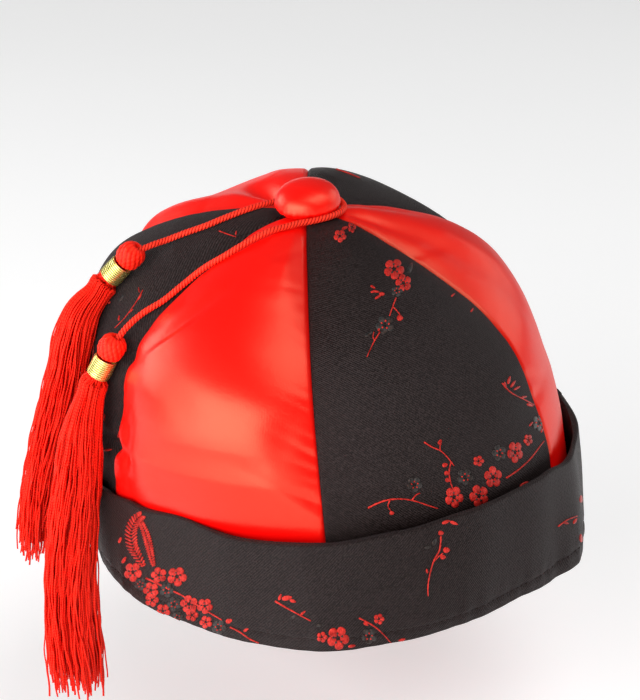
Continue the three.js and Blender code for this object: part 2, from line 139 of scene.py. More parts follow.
def grid_faces(rows: int, columns: int, close_rows: bool, close_columns: bool) -> Faces:
    """Makes the quads of a grid of points.

    Args:
        rows: how many rows of points there are.
        columns: how many points a row has.
        close_rows: whether the last row joins the first.
        close_columns: whether the last column joins the first.

    Returns:
        The quads as point numbers.
    """
    i = np.arange(rows if close_rows else rows - 1)[:, None]
    j = np.arange(columns if close_columns else columns - 1)[None, :]
    ni, nj = (i + 1) % rows, (j + 1) % columns
    corners = [i * columns + j, i * columns + nj, ni * columns + nj, ni * columns + j]
    return np.stack([np.broadcast_to(c, (i.size, j.size)) for c in corners], axis=-1).reshape(-1, 4)


def tube_faces(rows: int, sides: int) -> list[list[int]]:
    """Makes the faces of a tube of rings that is closed at both ends.

    Args:
        rows: how many rings there are.
        sides: points in each ring.

    Returns:
        The faces as point numbers.
    """
    last = (rows - 1) * sides
    ends = [list(range(sides))[::-1], list(range(last, last + sides))]
    return grid_faces(rows, sides, False, True).tolist() + ends


def make_piece(
    name: str,
    points: Points,
    faces: Iterable[Sequence[int]],
    uv: Optional[np.ndarray] = None,
    wrap: float = 0.0,
) -> Piece:
    """Makes a smooth mesh object whose faces point outwards.

    Args:
        name: the piece's name.
        points: its points in millimetres.
        faces: its faces as point numbers.
        uv: two cloth coordinates for each point.
        wrap: how much the first coordinate gains once round, where the mesh closes on itself.

    Returns:
        The new object, linked to the scene.
    """
    faces = [list(map(int, f)) for f in faces]
    fans = np.array([f[:3] for f in faces] + [[f[0], f[2], f[3]] for f in faces if len(f) > 3])
    a, b, c = (points[fans[:, k]] for k in range(3))
    if np.einsum("ij,ij->i", a, np.cross(b, c)).sum() < 0:
        faces = [f[::-1] for f in faces]
    mesh = bpy.data.meshes.new(name)
    mesh.from_pydata((points * MM).tolist(), [], faces)
    mesh.polygons.foreach_set("use_smooth", np.ones(len(mesh.polygons), dtype=bool))
    if uv is not None:
        order = np.empty(len(mesh.loops), dtype=int)
        mesh.loops.foreach_get("vertex_index", order)
        spread = uv[order].astype(np.float32)
        if wrap:
            owner = np.repeat(np.arange(len(mesh.polygons)), [len(f) for f in faces])
            high = np.full(len(mesh.polygons), -np.inf)
            np.maximum.at(high, owner, spread[:, 0])
            spread[high[owner] - spread[:, 0] > wrap / 2, 0] += wrap
        layer = mesh.uv_layers.new(name="cloth")
        layer.data.foreach_set("uv", spread.ravel())
    mesh.update()
    piece = bpy.data.objects.new(name, mesh)
    bpy.context.scene.collection.objects.link(piece)
    return piece


def dress(piece: Piece, finish: Finish, slot: Slot, *nodes: str) -> Piece:
    """Gives a piece its finish and its place on the hat.

    Args:
        piece: the object.
        finish: its material.
        slot: the record's slot; not used.
        *nodes: the solids that the piece stands for.

    Returns:
        The same object.
    """
    piece.data.materials.append(finish)
    if nodes:
        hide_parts(*nodes)
    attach(piece, "root")
    log.info("%s: %d faces", piece.name, len(piece.data.polygons))
    return piece


@dataclass
class MeshPile:
    """Gathers many small meshes into one."""

    points: list[np.ndarray] = field(default_factory=list)
    faces: list[Sequence[int]] = field(default_factory=list)
    coordinates: list[np.ndarray] = field(default_factory=list)
    count: int = 0

    def add(self, points: Points, faces: Iterable[Sequence[int]], uv: Optional[np.ndarray] = None) -> None:
        """Adds one small mesh.

        Args:
            points: its points.
            faces: its faces as numbers of those points.
            uv: two cloth coordinates for each point.
        """
        self.faces.extend([int(k) + self.count for k in f] for f in faces)
        self.points.append(points)
        self.coordinates.append(points[:, :2] if uv is None else uv)
        self.count += len(points)

    def piece(self, name: str) -> Piece:
        """Makes the object of all the meshes."""
        return make_piece(name, np.vstack(self.points), self.faces, np.vstack(self.coordinates))


# Finishes


class Graph:
    """A material's node tree, with short calls to add and join nodes."""

    def __init__(self, name: str) -> None:
        """Starts an empty material with an output and a shader.

        Args:
            name: the material's name.
        """
        self.material = bpy.data.materials.new(name)
        self.material.use_nodes = True
        self.tree = self.material.node_tree
        self.tree.nodes.clear()
        self.shader = self.node("ShaderNodeBsdfPrincipled")
        output = self.node("ShaderNodeOutputMaterial")
        self.join(self.shader.outputs["BSDF"], output.inputs["Surface"])

    def node(self, kind: str, **settings: object) -> bpy.types.Node:
        """Adds a node.

        Args:
            kind: the node's type.
            **settings: values of its sockets, or of the node itself where no socket has the name.

        Returns:
            The node.
        """
        made = self.tree.nodes.new(kind)
        for key, value in settings.items():
            socket = made.inputs.get(key.replace("_", " "))
            if socket is not None:
                socket.default_value = value
            else:
                setattr(made, key, value)
        return made

    def join(self, output: Socket, target: Socket) -> None:
        """Joins two sockets."""
        self.tree.links.new(output, target)

    def scaled(self, space: str, scale: Sequence[float], turn: float = 0.0) -> Socket:
        """Gives texture coordinates, scaled and turned about Z.

        Args:
            space: which coordinates.
            scale: the scale along each axis.
            turn: the turn in radians.

        Returns:
            The coordinates.
        """
        source = self.node("ShaderNodeTexCoord")
        mapping = self.node("ShaderNodeMapping", Scale=tuple(scale), Rotation=(0, 0, turn))
        self.join(source.outputs[space], mapping.inputs["Vector"])
        return mapping.outputs["Vector"]

    def noise(self, where: Socket, scale: float, detail: float) -> Socket:
        """Gives an uneven value.

        Args:
            where: the coordinates.
            scale: how fine it is.
            detail: how many finer layers it has.

        Returns:
            The value.
        """
        made = self.node("ShaderNodeTexNoise", Scale=scale, Detail=detail)
        self.join(where, made.inputs["Vector"])
        return made.outputs["Fac"]

    def bands(self, where: Socket, distortion: float) -> Socket:
        """Gives soft bands across X, one for each unit of the coordinates.

        Args:
            where: the coordinates.
            distortion: how uneven the bands are.

        Returns:
            The value.
        """
        made = self.node("ShaderNodeTexWave", Scale=0.32, Distortion=distortion, Detail=1.0)
        self.join(where, made.inputs["Vector"])
        return made.outputs["Fac"]

    def math(self, kind: str, a: Socket, b: Socket | float) -> Socket:
        """Works out one operation of two values.

        Args:
            kind: the operation.
            a: the first value.
            b: the second one, or a plain number.

        Returns:
            The result.
        """
        made = self.node("ShaderNodeMath", operation=kind)
        self.join(a, made.inputs[0])
        if isinstance(b, bpy.types.NodeSocket):
            self.join(b, made.inputs[1])
        else:
            made.inputs[1].default_value = b
        return made.outputs[0]

    def total(self, *parts: tuple[Socket, float]) -> Socket:
        """Adds up values.

        Args:
            *parts: each value with its weight.

        Returns:
            The sum.
        """
        weighed = [self.math("MULTIPLY", value, weight) for value, weight in parts]
        result = weighed[0]
        for more in weighed[1:]:
            result = self.math("ADD", result, more)
        return result

    def strands(self) -> Socket:
        """Reads the strands that the first cloth coordinate counts.

        Returns:
            A value of 1 on the crown of each strand and 0 in its groove.
        """
        source = self.node("ShaderNodeTexCoord")
        parts = self.node("ShaderNodeSeparateXYZ")
        self.join(source.outputs["UV"], parts.inputs["Vector"])
        turn = self.math("MULTIPLY", parts.outputs["X"], math.pi)
        return self.math("ABSOLUTE", self.math("SINE", turn, 0), 0)

    def ramp(self, value: Socket, *stops: tuple) -> Socket:
        """Turns a value into a colour.

        Args:
            value: the value.
            *stops: places with their colours.

        Returns:
            The colour.
        """
        made = self.node("ShaderNodeValToRGB")
        self.join(value, made.inputs["Fac"])
        for i, (place, colour) in enumerate(stops):
            stop = made.color_ramp.elements[i] if i < 2 else made.color_ramp.elements.new(place)
            stop.position = place
            stop.color = (*colour, 1)
        return made.outputs["Color"]

    def span(self, value: Socket, low: float, high: float) -> Socket:
        """Maps 0 to 1 onto low to high.

        Args:
            value: the value.
            low: the result at 0.
            high: the result at 1.

        Returns:
            The result.
        """
        made = self.node("ShaderNodeMapRange", To_Min=low, To_Max=high)
        self.join(value, made.inputs["Value"])
        return made.outputs["Result"]

    def bump(self, height: Socket, strength: float, depth: float, under: Optional[Socket] = None) -> Socket:
        """Adds a bump.

        Args:
            height: its height, from 0 to 1.
            strength: its strength.
            depth: its depth in millimetres.
            under: a bump that it lies on.

        Returns:
            The normal.
        """
        made = self.node("ShaderNodeBump", Strength=strength, Distance=depth * MM)
        self.join(height, made.inputs["Height"])
        if under is not None:
            self.join(under, made.inputs["Normal"])
        return made.outputs["Normal"]

    def finish(self, sockets: dict[str, Socket], **values: object) -> Finish:
        """Joins the shader's inputs and sets its even values.

        Args:
            sockets: what goes into each input.
            **values: the even values.

        Returns:
            The material.
        """
        if "Anisotropic" in values:
            tangent = self.node("ShaderNodeTangent", direction_type="UV_MAP", uv_map="cloth")
            self.join(tangent.outputs["Tangent"], self.shader.inputs["Tangent"])
        for name, socket in sockets.items():
            self.join(socket, self.shader.inputs[name])
        for name, value in values.items():
            self.shader.inputs[name.replace("_", " ")].default_value = value
        return self.material


@dataclass(frozen=True)
class Satin:
    """Red satin: smooth floats with a broad soft sheen and small waves in the cloth."""

    deep: tuple = (0.88, 0.0004, 0.0004)
    bright: tuple = (0.97, 0.0014, 0.0011)
    thread_pitch: float = 0.5
    thread_slant: float = 0.35
    wave_scale: float = 34.0
    wave_depth: float = 0.7
    grain_scale: float = 1300.0
    grain_depth: float = 0.06
    roughness: tuple = (0.27, 0.39)

    def make(self) -> Finish:
        """Builds the material.

        Returns:
            The material.
        """
        g = Graph("red satin")
        space = g.scaled("Object", (1, 1, 1))
        cloth = g.scaled("UV", (1 / self.thread_pitch, 0.4 / self.thread_pitch, 1), self.thread_slant)
        soft = g.noise(space, self.wave_scale, 3)
        fine = g.noise(space, self.grain_scale, 2)
        waves = g.bump(soft, 0.35, self.wave_depth)
        grain = g.total((g.bands(cloth, 0.5), 0.5), (fine, 2.2))
        sockets = {
            "Base Color": g.ramp(soft, (0.30, self.deep), (0.72, self.bright)),
            "Roughness": g.span(fine, *self.roughness),
            "Normal": g.bump(grain, 0.32, self.grain_depth, waves),
        }
        return g.finish(
            sockets,
            Specular_IOR_Level=0.78,
            Specular_Tint=(1.0, 0.78, 0.44, 1),
            Sheen_Weight=0.35,
            Sheen_Roughness=0.5,
            Sheen_Tint=(1.0, 0.01, 0.004, 1),
            Anisotropic=0.5,
        )


@dataclass(frozen=True)
class Brocade:
    """Black brocade ground: a fine diagonal twill whose faint sheen spreads along the weft.

    grain_turn is the weft's direction, as a share of a whole turn from the cloth's first coordinate.
    """

    name: str = "black brocade"
    grain_turn: float = 0.0
    valley: tuple = (0.0050, 0.0020, 0.0014)
    ridge: tuple = (0.023, 0.0145, 0.0135)
    twill_pitch: float = 0.85
    twill_slant: float = 0.75
    cross_pitch: float = 0.5
    cross_slant: float = -0.82
    wave_scale: float = 60.0
    wave_depth: float = 0.7
    grain_scale: float = 1100.0
    speck_scale: float = 1350.0
    grain_depth: float = 0.26
    roughness: tuple = (0.44, 0.56)

    def make(self) -> Finish:
        """Builds the material.

        Returns:
            The material.
        """
        g = Graph(self.name)
        space = g.scaled("Object", (1, 1, 1))
        twill_space = g.scaled("UV", (1 / self.twill_pitch, 1 / self.twill_pitch, 1), self.twill_slant)
        cross_space = g.scaled("UV", (1 / self.cross_pitch, 1 / self.cross_pitch, 1), self.cross_slant)
        fine = g.noise(space, self.grain_scale, 2)
        weave = g.total((g.bands(twill_space, 1.1), 1.0), (g.bands(cross_space, 0.8), 0.45))
        grain = g.total((fine, 1.0), (g.noise(space, self.speck_scale, 3), 1.5))
        waves = g.bump(g.noise(space, self.wave_scale, 3), 0.3, self.wave_depth)
        tone = g.total((weave, 0.16), (grain, 0.34))
        sockets = {
            "Base Color": g.ramp(tone, (0.49, self.valley), (0.62, self.ridge)),
            "Roughness": g.span(fine, *self.roughness),
            "Normal": g.bump(g.total((weave, 0.6), (grain, 1.0)), 0.8, self.grain_depth, waves),
        }
        return g.finish(
            sockets,
            Specular_IOR_Level=0.22,
            Specular_Tint=(1.0, 0.92, 0.95, 1),
            Anisotropic=0.92,
            Anisotropic_Rotation=self.grain_turn,
            Sheen_Weight=0.03,
            Sheen_Roughness=0.45,
            Sheen_Tint=(0.75, 0.62, 0.66, 1),
        )


@dataclass(frozen=True)
class Floss:
    """Glossy thread, for fringe, cord, heads, stitching and woven figures.

    along holds the fibres' scale on each axis, and strand says how strongly each ply is painted lighter on
    its crown and darker in its groove: a painted highlight and painted shade.
    """

    name: str
    dark: tuple
    light: tuple
    gloss: float = 0.42
    along: tuple = (500, 500, 60)
    relief: float = 0.12
    strand: float = 0.0
    patch_scale: float = 260.0

    def make(self) -> Finish:
        """Builds the material.

        Returns:
            The material.
        """
        g = Graph(self.name)
        fibre = g.noise(g.scaled("Object", self.along), 1, 2)
        patch = g.noise(g.scaled("Object", (1, 1, 1)), self.patch_scale, 2)
        tone = g.total((fibre, 0.55), (patch, 0.45))
        height = fibre
        # Painted highlight and shade on the plies: the colour is lighter on each ply's crown and darker in
        # its groove, mixed with the random fibre tone.
        if self.strand:
            crown = g.strands()
            tone = g.total((tone, 1 - self.strand), (crown, self.strand))
            height = g.total((fibre, 0.4), (crown, 1.0))
        sockets = {
            "Base Color": g.ramp(tone, (0.34, self.dark), (0.64, self.light)),
            "Roughness": g.span(patch, self.gloss - 0.06, self.gloss + 0.08),
            "Normal": g.bump(height, 0.5, self.relief),
        }
        return g.finish(sockets, Specular_IOR_Level=0.24, Specular_Tint=(1.0, 0.50, 0.38, 1))


@dataclass(frozen=True)
class WoundGold:
    """Metallic gold thread: the crown of each turn is painted lighter and the groove between turns darker, a
    painted highlight and painted shade over uneven patches.
    """

    dark: tuple = (0.52, 0.40, 0.05)
    middle: tuple = (0.90, 0.77, 0.16)
    light: tuple = (1.0, 0.95, 0.42)
    relief: float = 0.12
    roughness: tuple = (0.2, 0.36)

    def make(self) -> Finish:
        """Builds the material.

        Returns:
            The material.
        """
        g = Graph("wound gold thread")
        patch = g.noise(g.scaled("UV", (3.2, 0.9, 1)), 1, 2)
        crown = g.strands()
        # Painted highlight and shade on the turns: the colour is lighter on each turn's crown and darker in
        # each groove, mixed with random patches.
        tone = g.total((patch, 0.55), (crown, 0.45))
        sockets = {
            "Base Color": g.ramp(tone, (0.28, self.dark), (0.52, self.middle), (0.72, self.light)),
            "Roughness": g.span(patch, *self.roughness),
            "Normal": g.bump(g.total((crown, 1.0), (patch, 0.8)), 0.6, self.relief),
        }
        return g.finish(sockets, Metallic=0.9)


@dataclass(frozen=True)
class StudioFloor:
    """A plain pale floor with the faintest mottling, lit a little from below."""

    tone: float = 0.97
    shade: float = 0.985
    mottling_scale: float = 3.0
    glow: float = 0.22

    def make(self) -> Finish:
        """Builds the material.

        Returns:
            The material.
        """
        g = Graph("pale floor")
        patch = g.noise(g.scaled("Object", (1, 1, 1)), self.mottling_scale, 2)
        low, high = (self.tone * self.shade,) * 3, (self.tone,) * 3
        sockets = {"Base Color": g.ramp(patch, (0.3, low), (0.7, high))}
        return g.finish(sockets, Roughness=0.8, Emission_Color=(1, 1, 1, 1), Emission_Strength=self.glow)


# The camera, the light and the floor


@dataclass(frozen=True)
class Lamp:
    """A soft light: turn and rise in degrees as seen from the hat, the rest in metres and watts."""

    name: str
    turn: float
    rise: float
    distance: float
    width: float
    height: float
    power: float


LAMPS = (
    Lamp("front_left", -40, 15, 1.5, 2.0, 1.1, 35.0),
    Lamp("left", -112, 16, 1.3, 0.9, 0.5, 5.0),
    Lamp("right_back", 118, 20, 1.5, 1.2, 0.8, 4.0),
    Lamp("right", 60, 60, 1.6, 1.5, 1.1, 13.0),
    Lamp("back", -172, 5, 1.5, 0.8, 0.2, 0.5),
)


@dataclass
class Studio:
    """The camera at the photograph's angle, soft lights and a floor below the tassels."""

    width: int = 640
    height: int = 700
    distance: float = 1000.0
    elevation: float = 27.0
    aim: tuple = (-5.54, 0.0, 74.1)
    roll: float = -2.23
    lens: float = 129.2
    sensor: float = 36.0
    lamp_aim: float = 70.0
    floor_height: float = -78.0
    floor_half: float = 5000.0
    daylight: float = 0.12
    camera: Optional[Piece] = None

    def build(self) -> None:
        """Makes the camera, the lights, the world and the floor."""
        self.add_camera()
        for lamp in LAMPS:
            self.add_light(lamp)
        world = bpy.data.worlds.new("studio")
        world.use_nodes = True
        world.node_tree.nodes["Background"].inputs["Color"].default_value = (1, 1, 1, 1)
        world.node_tree.nodes["Background"].inputs["Strength"].default_value = self.daylight
        scene = bpy.context.scene
        scene.world = world
        scene.view_settings.view_transform = "Standard"
        scene.view_settings.look = "None"
        self.add_floor()

    def add_camera(self) -> None:
        """Places the camera before the hat, a little above it."""
        data = bpy.data.cameras.new("camera")
        data.lens = self.lens
        data.sensor_width = self.sensor
        data.clip_start = 0.05
        data.clip_end = 20
        e = self.elevation * RAD
        self.camera = bpy.data.objects.new("camera", data)
        place = Vector((0, -math.cos(e), math.sin(e))) * self.distance * MM
        look = (Vector(self.aim) * MM - place).to_track_quat("-Z", "Y")
        self.camera.rotation_mode = "QUATERNION"
        self.camera.location = place
        self.camera.rotation_quaternion = look @ Quaternion((0, 0, 1), self.roll * RAD)
        bpy.context.scene.collection.objects.link(self.camera)
        bpy.context.scene.camera = self.camera
        bpy.context.view_layer.update()

    def add_light(self, lamp: Lamp) -> None:
        """Adds one soft light that faces the hat.

        Args:
            lamp: where it stands, and how large and strong it is.
        """
        data = bpy.data.lights.new(lamp.name, "AREA")
        data.shape = "RECTANGLE"
        data.size = lamp.width
        data.size_y = lamp.height
        data.energy = lamp.power
        made = bpy.data.objects.new(lamp.name, data)
        turn, rise = lamp.turn * RAD, lamp.rise * RAD
        way = Vector((math.sin(turn) * math.cos(rise), -math.cos(turn) * math.cos(rise), math.sin(rise)))
        made.location = way * lamp.distance + Vector((0, 0, self.lamp_aim * MM))
        made.rotation_mode = "QUATERNION"
        made.rotation_quaternion = (-way).to_track_quat("-Z", "Y")
        bpy.context.scene.collection.objects.link(made)

    def add_floor(self) -> None:
        """Adds the floor."""
        corners = np.array([[-1, -1, 0], [1, -1, 0], [1, 1, 0], [-1, 1, 0]]) * self.floor_half
        floor = make_piece("floor", corners + [0, 0, self.floor_height], [[0, 1, 2, 3]])
        floor.data.materials.append(StudioFloor().make())

    def ray(self, x: float, y: float) -> tuple[Vector, Vector]:
        """Gives the line of sight through a place in the photograph.

        Args:
            x: pixels from the photograph's left edge.
            y: pixels from its top edge.

        Returns:
            The line's start and direction, in millimetres.
        """
        focal = self.lens / self.sensor * max(self.width, self.height)
        local = Vector(((x - self.width / 2) / focal, (self.height / 2 - y) / focal, -1))
        turn = self.camera.matrix_world.to_quaternion()
        return self.camera.matrix_world.translation / MM, (turn @ local).normalized()


# The crown: its seam lines as radius and height, from the top to the foot

FRONT_LINE = (
    (0, 133), (11.5, 131.4), (22, 128), (34, 121.8), (44, 116.4), (54, 110.2), (64.5, 103), (72, 95.6),
    (78, 87.6), (82, 78.5), (84.8, 68.5), (87.6, 59), (89.8, 49), (90.8, 38), (91, 22), (91.2, 3.2),
)
RIGHT_BACK_LINE = (
    (0, 133), (11.5, 132), (22, 130), (34, 126.4), (44, 122.4), (55, 117.4), (64.6, 111), (72.4, 103),
    (77.4, 93.4), (80.8, 82.8), (83.2, 72.4), (85.8, 61.8), (88.6, 50.6), (90.4, 38.6), (91, 22),
    (91.2, 3.2),
)
BACK_LINE = (
    (0, 133), (11.5, 133.6), (22, 135), (34, 135.2), (44, 133.2), (54, 128.4), (64, 120.4),
    (72.5, 110.8), (78.6, 99.8), (83.2, 88.8), (86.4, 77), (88.8, 64.6), (90.4, 52), (91.2, 39),
    (91, 22), (91.2, 3.2),
)
LEFT_BACK_LINE = (
    (0, 133), (11.5, 131.8), (22, 129.8), (34, 127), (44, 124), (55.4, 120.4), (68, 115), (78.6, 108.4),
    (84.8, 99), (87.6, 87.4), (90, 76), (91.4, 64.4), (91.8, 52), (91.6, 39), (91.2, 22), (91.2, 3.2),
)


@dataclass(frozen=True)
class Fold:
    """A soft dent (minus) or swell (plus) of a panel, by shares across (-1 to 1) and down (0 to 1)."""

    across: float
    down: float
    half_across: float
    half_down: float
    lean: float
    depth: float


@dataclass(frozen=True)
class Pucker:
    """A small crease that runs in from a seam: side, place down, reach, half width, lean and depth."""

    side: int
    down: float
    reach: float
    half_width: float
    lean: float
    depth: float


@dataclass(frozen=True)
class Pinch:
    """A place where a seam is drawn in: side, place down, half height, reach across and depth."""

    side: int
    down: float
    half_down: float
    reach: float
    depth: float


@dataclass(frozen=True)
class Panel:
    """One gore of the crown between two seams given as plan angles, with its upper and lower fullness."""

    name: str
    node: str
    start: float
    end: float
    upper: float
    lower: float
    slot: Slot
    seed: int
    folds: tuple = ()
    puckers: tuple = ()
    pinches: tuple = ()


# The pinches of the seam between the left panel and the front left one, without their side
LEFT_PINCHES = ((0.515, 0.022, 7, -2.0), (0.655, 0.055, 8, -1.9), (0.752, 0.020, 8, -4.0))

PANELS = (
    Panel(
        "front_left_satin_panel", "panel_front_left_red", -64.6, -1.9, 7.5, 7, Slot.SATIN, 11,
        (
            Fold(-0.40, 0.398, 0.26, 0.030, -0.26, -1.1),
            Fold(-0.42, 0.436, 0.20, 0.016, -0.26, 0.6),
            Fold(-0.72, 0.72, 0.1, 0.12, 0, -2),
            Fold(-0.5, 0.78, 0.2, 0.08, 0, 1.6),
            Fold(0.8, 0.6, 0.16, 0.05, -0.1, -1.4),
            Fold(-0.80, 0.50, 0.10, 0.10, 0, 0.7),
            Fold(-0.1, 0.55, 0.22, 0.05, 0.10, -0.5),
        ),
        (
            Pucker(1, 0.50, 3, 1.2, -0.4, -0.45),
            Pucker(1, 0.535, 4, 1.3, -0.5, -0.6),
            Pucker(1, 0.575, 3, 1.2, -0.4, -0.45),
            Pucker(1, 0.612, 4, 1.4, -0.6, -0.9),
            Pucker(1, 0.652, 5.5, 1.6, -0.7, -1.3),
            Pucker(1, 0.685, 4.5, 1.4, -0.5, -0.9),
            Pucker(1, 0.715, 3, 1.2, -0.4, -0.5),
            Pucker(1, 0.765, 7, 2.2, -0.6, -1.4),
            Pucker(1, 0.80, 6, 1.8, -0.6, 0.6),
            Pucker(-1, 0.71, 12, 2.6, 0.5, -1.0),
            Pucker(-1, 0.84, 10, 2.4, 0.5, -0.6),
        ),
        tuple(Pinch(-1, *values) for values in LEFT_PINCHES),
    ),
    Panel("front_right_brocade_panel", "panel_front_right_black", -1.9, 66.1, 7, 6.5, Slot.BROCADE, 12),
    Panel(
        "right_satin_panel", "panel_right_red", 66.1, 121, 3.6, 1.7, Slot.SATIN, 13,
        (
            Fold(-0.4, 0.3, 0.22, 0.12, 0.1, -1.0),
            Fold(0.0, 0.36, 0.2, 0.12, 0, 0.7),
            Fold(0.65, 0.2, 0.3, 0.1, 0, -1.6),
            Fold(0.1, 0.72, 0.3, 0.07, 0.05, 0.5),
            Fold(-0.5, 0.14, 0.2, 0.05, 0, -0.9),
        ),
        (Pucker(-1, 0.62, 12, 3, 0.5, -0.9), Pucker(-1, 0.24, 12, 2.6, 0.6, -0.8)),
    ),
    Panel(
        "back_right_brocade_panel", "panel_back_right_black", 121, 179, 2.4, 4.5, Slot.BROCADE, 14,
        (Fold(0.2, 0.18, 0.5, 0.08, 0, -1.2), Fold(-0.2, 0.5, 0.3, 0.08, 0.1, -1.4)),
    ),
    Panel(
        "back_left_satin_panel", "panel_back_left_red", 179, 241, 1.6, 5.5, Slot.SATIN, 15,
        (
            Fold(0.1, 0.15, 0.3, 0.08, 0.05, -4.4),
            Fold(0.55, 0.22, 0.34, 0.09, 0, 2.2),
            Fold(0.75, 0.4, 0.28, 0.14, 0, 4.6),
        ),
    ),
    Panel(
        "left_brocade_panel", "panel_left_black", 241, 295.4, 6, 5.4, Slot.BROCADE, 16,
        (Fold(0.4, 0.5, 0.2, 0.12, 0, -1.4),),
        (),
        tuple(Pinch(1, *values) for values in LEFT_PINCHES),
    ),
)


@dataclass
class Cloth:
    """A finished piece of cloth that woven figures can be laid on."""

    name: str
    tree: BVHTree


@dataclass
class Crown:
    """Six gores that meet under the button and end inside the cuff."""

    wall: float = 1.5
    apex_x: float = -8.5
    apex_y: float = -3.0
    front_stretch: float = 1.055
    back_stretch: float = 1.04
    hole_radius: float = 5.0
    seam_length: float = 176.0
    seam_roll: float = 1.7
    seam_depth: float = 1.1
    seam_lap: float = 0.12
    rows: int = 150
    columns: int = 76
    chance_creases: int = 13
    chance_waves: int = 10
    brocade_softness: float = 0.55
    seams: tuple = (66.0, 119.0, 180.0, 241.0, 294.0)
    lines: np.ndarray = field(
        default_factory=lambda: np.array(
            [FRONT_LINE, RIGHT_BACK_LINE, BACK_LINE, LEFT_BACK_LINE, FRONT_LINE], dtype=float
        )
    )
    upper_share: tuple = (
        (0, 0.06, 0.12, 0.2, 0.3, 0.42, 0.56, 0.64, 1),
        (0, 0.04, 0.4, 0.8, 1, 0.8, 0.2, 0, 0),
    )
    lower_share: tuple = (
        (0, 0.3, 0.42, 0.56, 0.64, 0.72, 0.78, 0.85, 1),
        (0, 0, 0.2, 0.85, 1, 0.8, 0.42, 0, 0),
    )

    def stretch(self, angle: np.ndarray) -> np.ndarray:
        """Gives how much longer than wide the oval is at plan angles."""
        return np.where(np.cos(angle * RAD) > 0, self.front_stretch, self.back_stretch)

    def meridian(self, angle: np.ndarray, down: np.ndarray) -> tuple[np.ndarray, ...]:
        """Reads the seam lines at plan angles.

        Args:
            angle: plan angles in degrees.
            down: shares from the top (0) to the foot (1).

        Returns:
            Radius, height, and the radial and upright parts of the direction square to the line.
        """
        angle, down = np.broadcast_arrays(np.mod(angle, 360), down)
        k = np.clip(np.searchsorted(self.seams[1:], angle, side="left"), 0, len(self.seams) - 2)
        at = np.array(self.seams)
        blend = smooth(at[k], at[k + 1], angle)[..., None]

        def line(t: np.ndarray) -> np.ndarray:
            """Blends the two seam lines on both sides of each angle.

            Args:
                t: shares from the top to the foot.

            Returns:
                Radius and height.
            """
            each = np.stack([rounded(rows, t) for rows in self.lines])
            pick = np.stack(np.indices(k.shape)) if k.ndim else ()
            return each[(k, *pick)] * (1 - blend) + each[(k + 1, *pick)] * blend

        here = line(down)
        step = line(np.clip(down + 0.012, 0, 1)) - line(np.clip(down - 0.012, 0, 1))
        length = np.hypot(step[..., 0], step[..., 1])
        return here[..., 0], here[..., 1], -step[..., 1] / length, step[..., 0] / length

    def place(self, angle: np.ndarray, radius: np.ndarray, height: np.ndarray) -> Points:
        """Turns plan angle, radius and height into points, with the crown's lean.

        Args:
            angle: plan angles in degrees.
            radius: distances from the axis.
            height: heights above the rim.

        Returns:
            The points.
        """
        lean = height / self.lines[0, 0, 1] * smooth(6, 36, height)
        x = radius * np.sin(angle * RAD) + self.apex_x * lean
        y = -radius * np.cos(angle * RAD) * self.stretch(angle) + self.apex_y * lean
        return np.stack([x, y, height + 0 * x], axis=-1)

    def fullness(self, panel: Panel, s: np.ndarray, u: np.ndarray, half: np.ndarray) -> np.ndarray:
        """Works out how far a panel stands off its seams.

        Args:
            panel: the panel.
            s: shares across, from -1 to 1.
            u: shares down, from 0 to 1.
            half: the panel's half width there.

        Returns:
            The distance in millimetres.
        """
        share = panel.upper * np.interp(u, *self.upper_share)
        share = share + panel.lower * np.interp(u, *self.lower_share)
        out = share * (1 - np.abs(s) ** 2.5)
        held = (1 - s**4) * smooth(0.98, 0.86, u)
        for fold in panel.folds:
            a = (s - fold.across) / fold.half_across
            b = (u - fold.down - fold.lean * (s - fold.across)) / fold.half_down
            out = out + fold.depth * np.exp(-(a**2) - b**2) * held
        return out + self.creases(panel, s, u, half)

    def creases(self, panel: Panel, s: np.ndarray, u: np.ndarray, half: np.ndarray) -> np.ndarray:
        """Works out the small creases at the seams and the cloth's slight unevenness.

        Args:
            panel: the panel.
            s: shares across, from -1 to 1.
            u: shares down, from 0 to 1.
            half: the panel's half width there.

        Returns:
            The distance in millimetres.
        """
        chance = np.random.default_rng(panel.seed)
        stiff = 1.0 if panel.slot is Slot.SATIN else self.brocade_softness
        creases = list(panel.puckers)
        for side in (-1, 1):
            for _ in range(self.chance_creases):
                down, reach, width = chance.uniform((0.12, 4, 1.5), (0.97, 15, 3.4))
                lean, depth = chance.uniform((-0.7, -0.5), (0.7, 0.28))
                creases.append(Pucker(side, down, reach, width, lean, depth * stiff))
        out = np.zeros(np.broadcast(s, u).shape)
        for crease in creases:
            off = (1 - s * crease.side) * half
            run = (u - crease.down) * self.seam_length - crease.lean * off
            fade = np.exp(-off / crease.reach) * (1 - np.exp(-off / 1.3))
            out = out + crease.depth * np.exp(-((run / crease.half_width) ** 2)) * fade
        low, high = (-0.8, 0.1, 0.1, 0.04, -0.5), (0.8, 0.95, 0.3, 0.1, 0.5)
        for _ in range(self.chance_waves):
            across, down, wide, tall, depth = chance.uniform(low, high)
            a, b = (s - across) / wide, (u - down) / tall
            out = out + depth * stiff * np.exp(-(a**2) - b**2) * (1 - s**4)
        for pinch in panel.pinches:
            off = (1 - s * pinch.side) * half
            share = np.exp(-(((u - pinch.down) / pinch.half_down) ** 2) - off / pinch.reach)
            out = out + pinch.depth * share
        return out * smooth(0.03, 0.12, u)

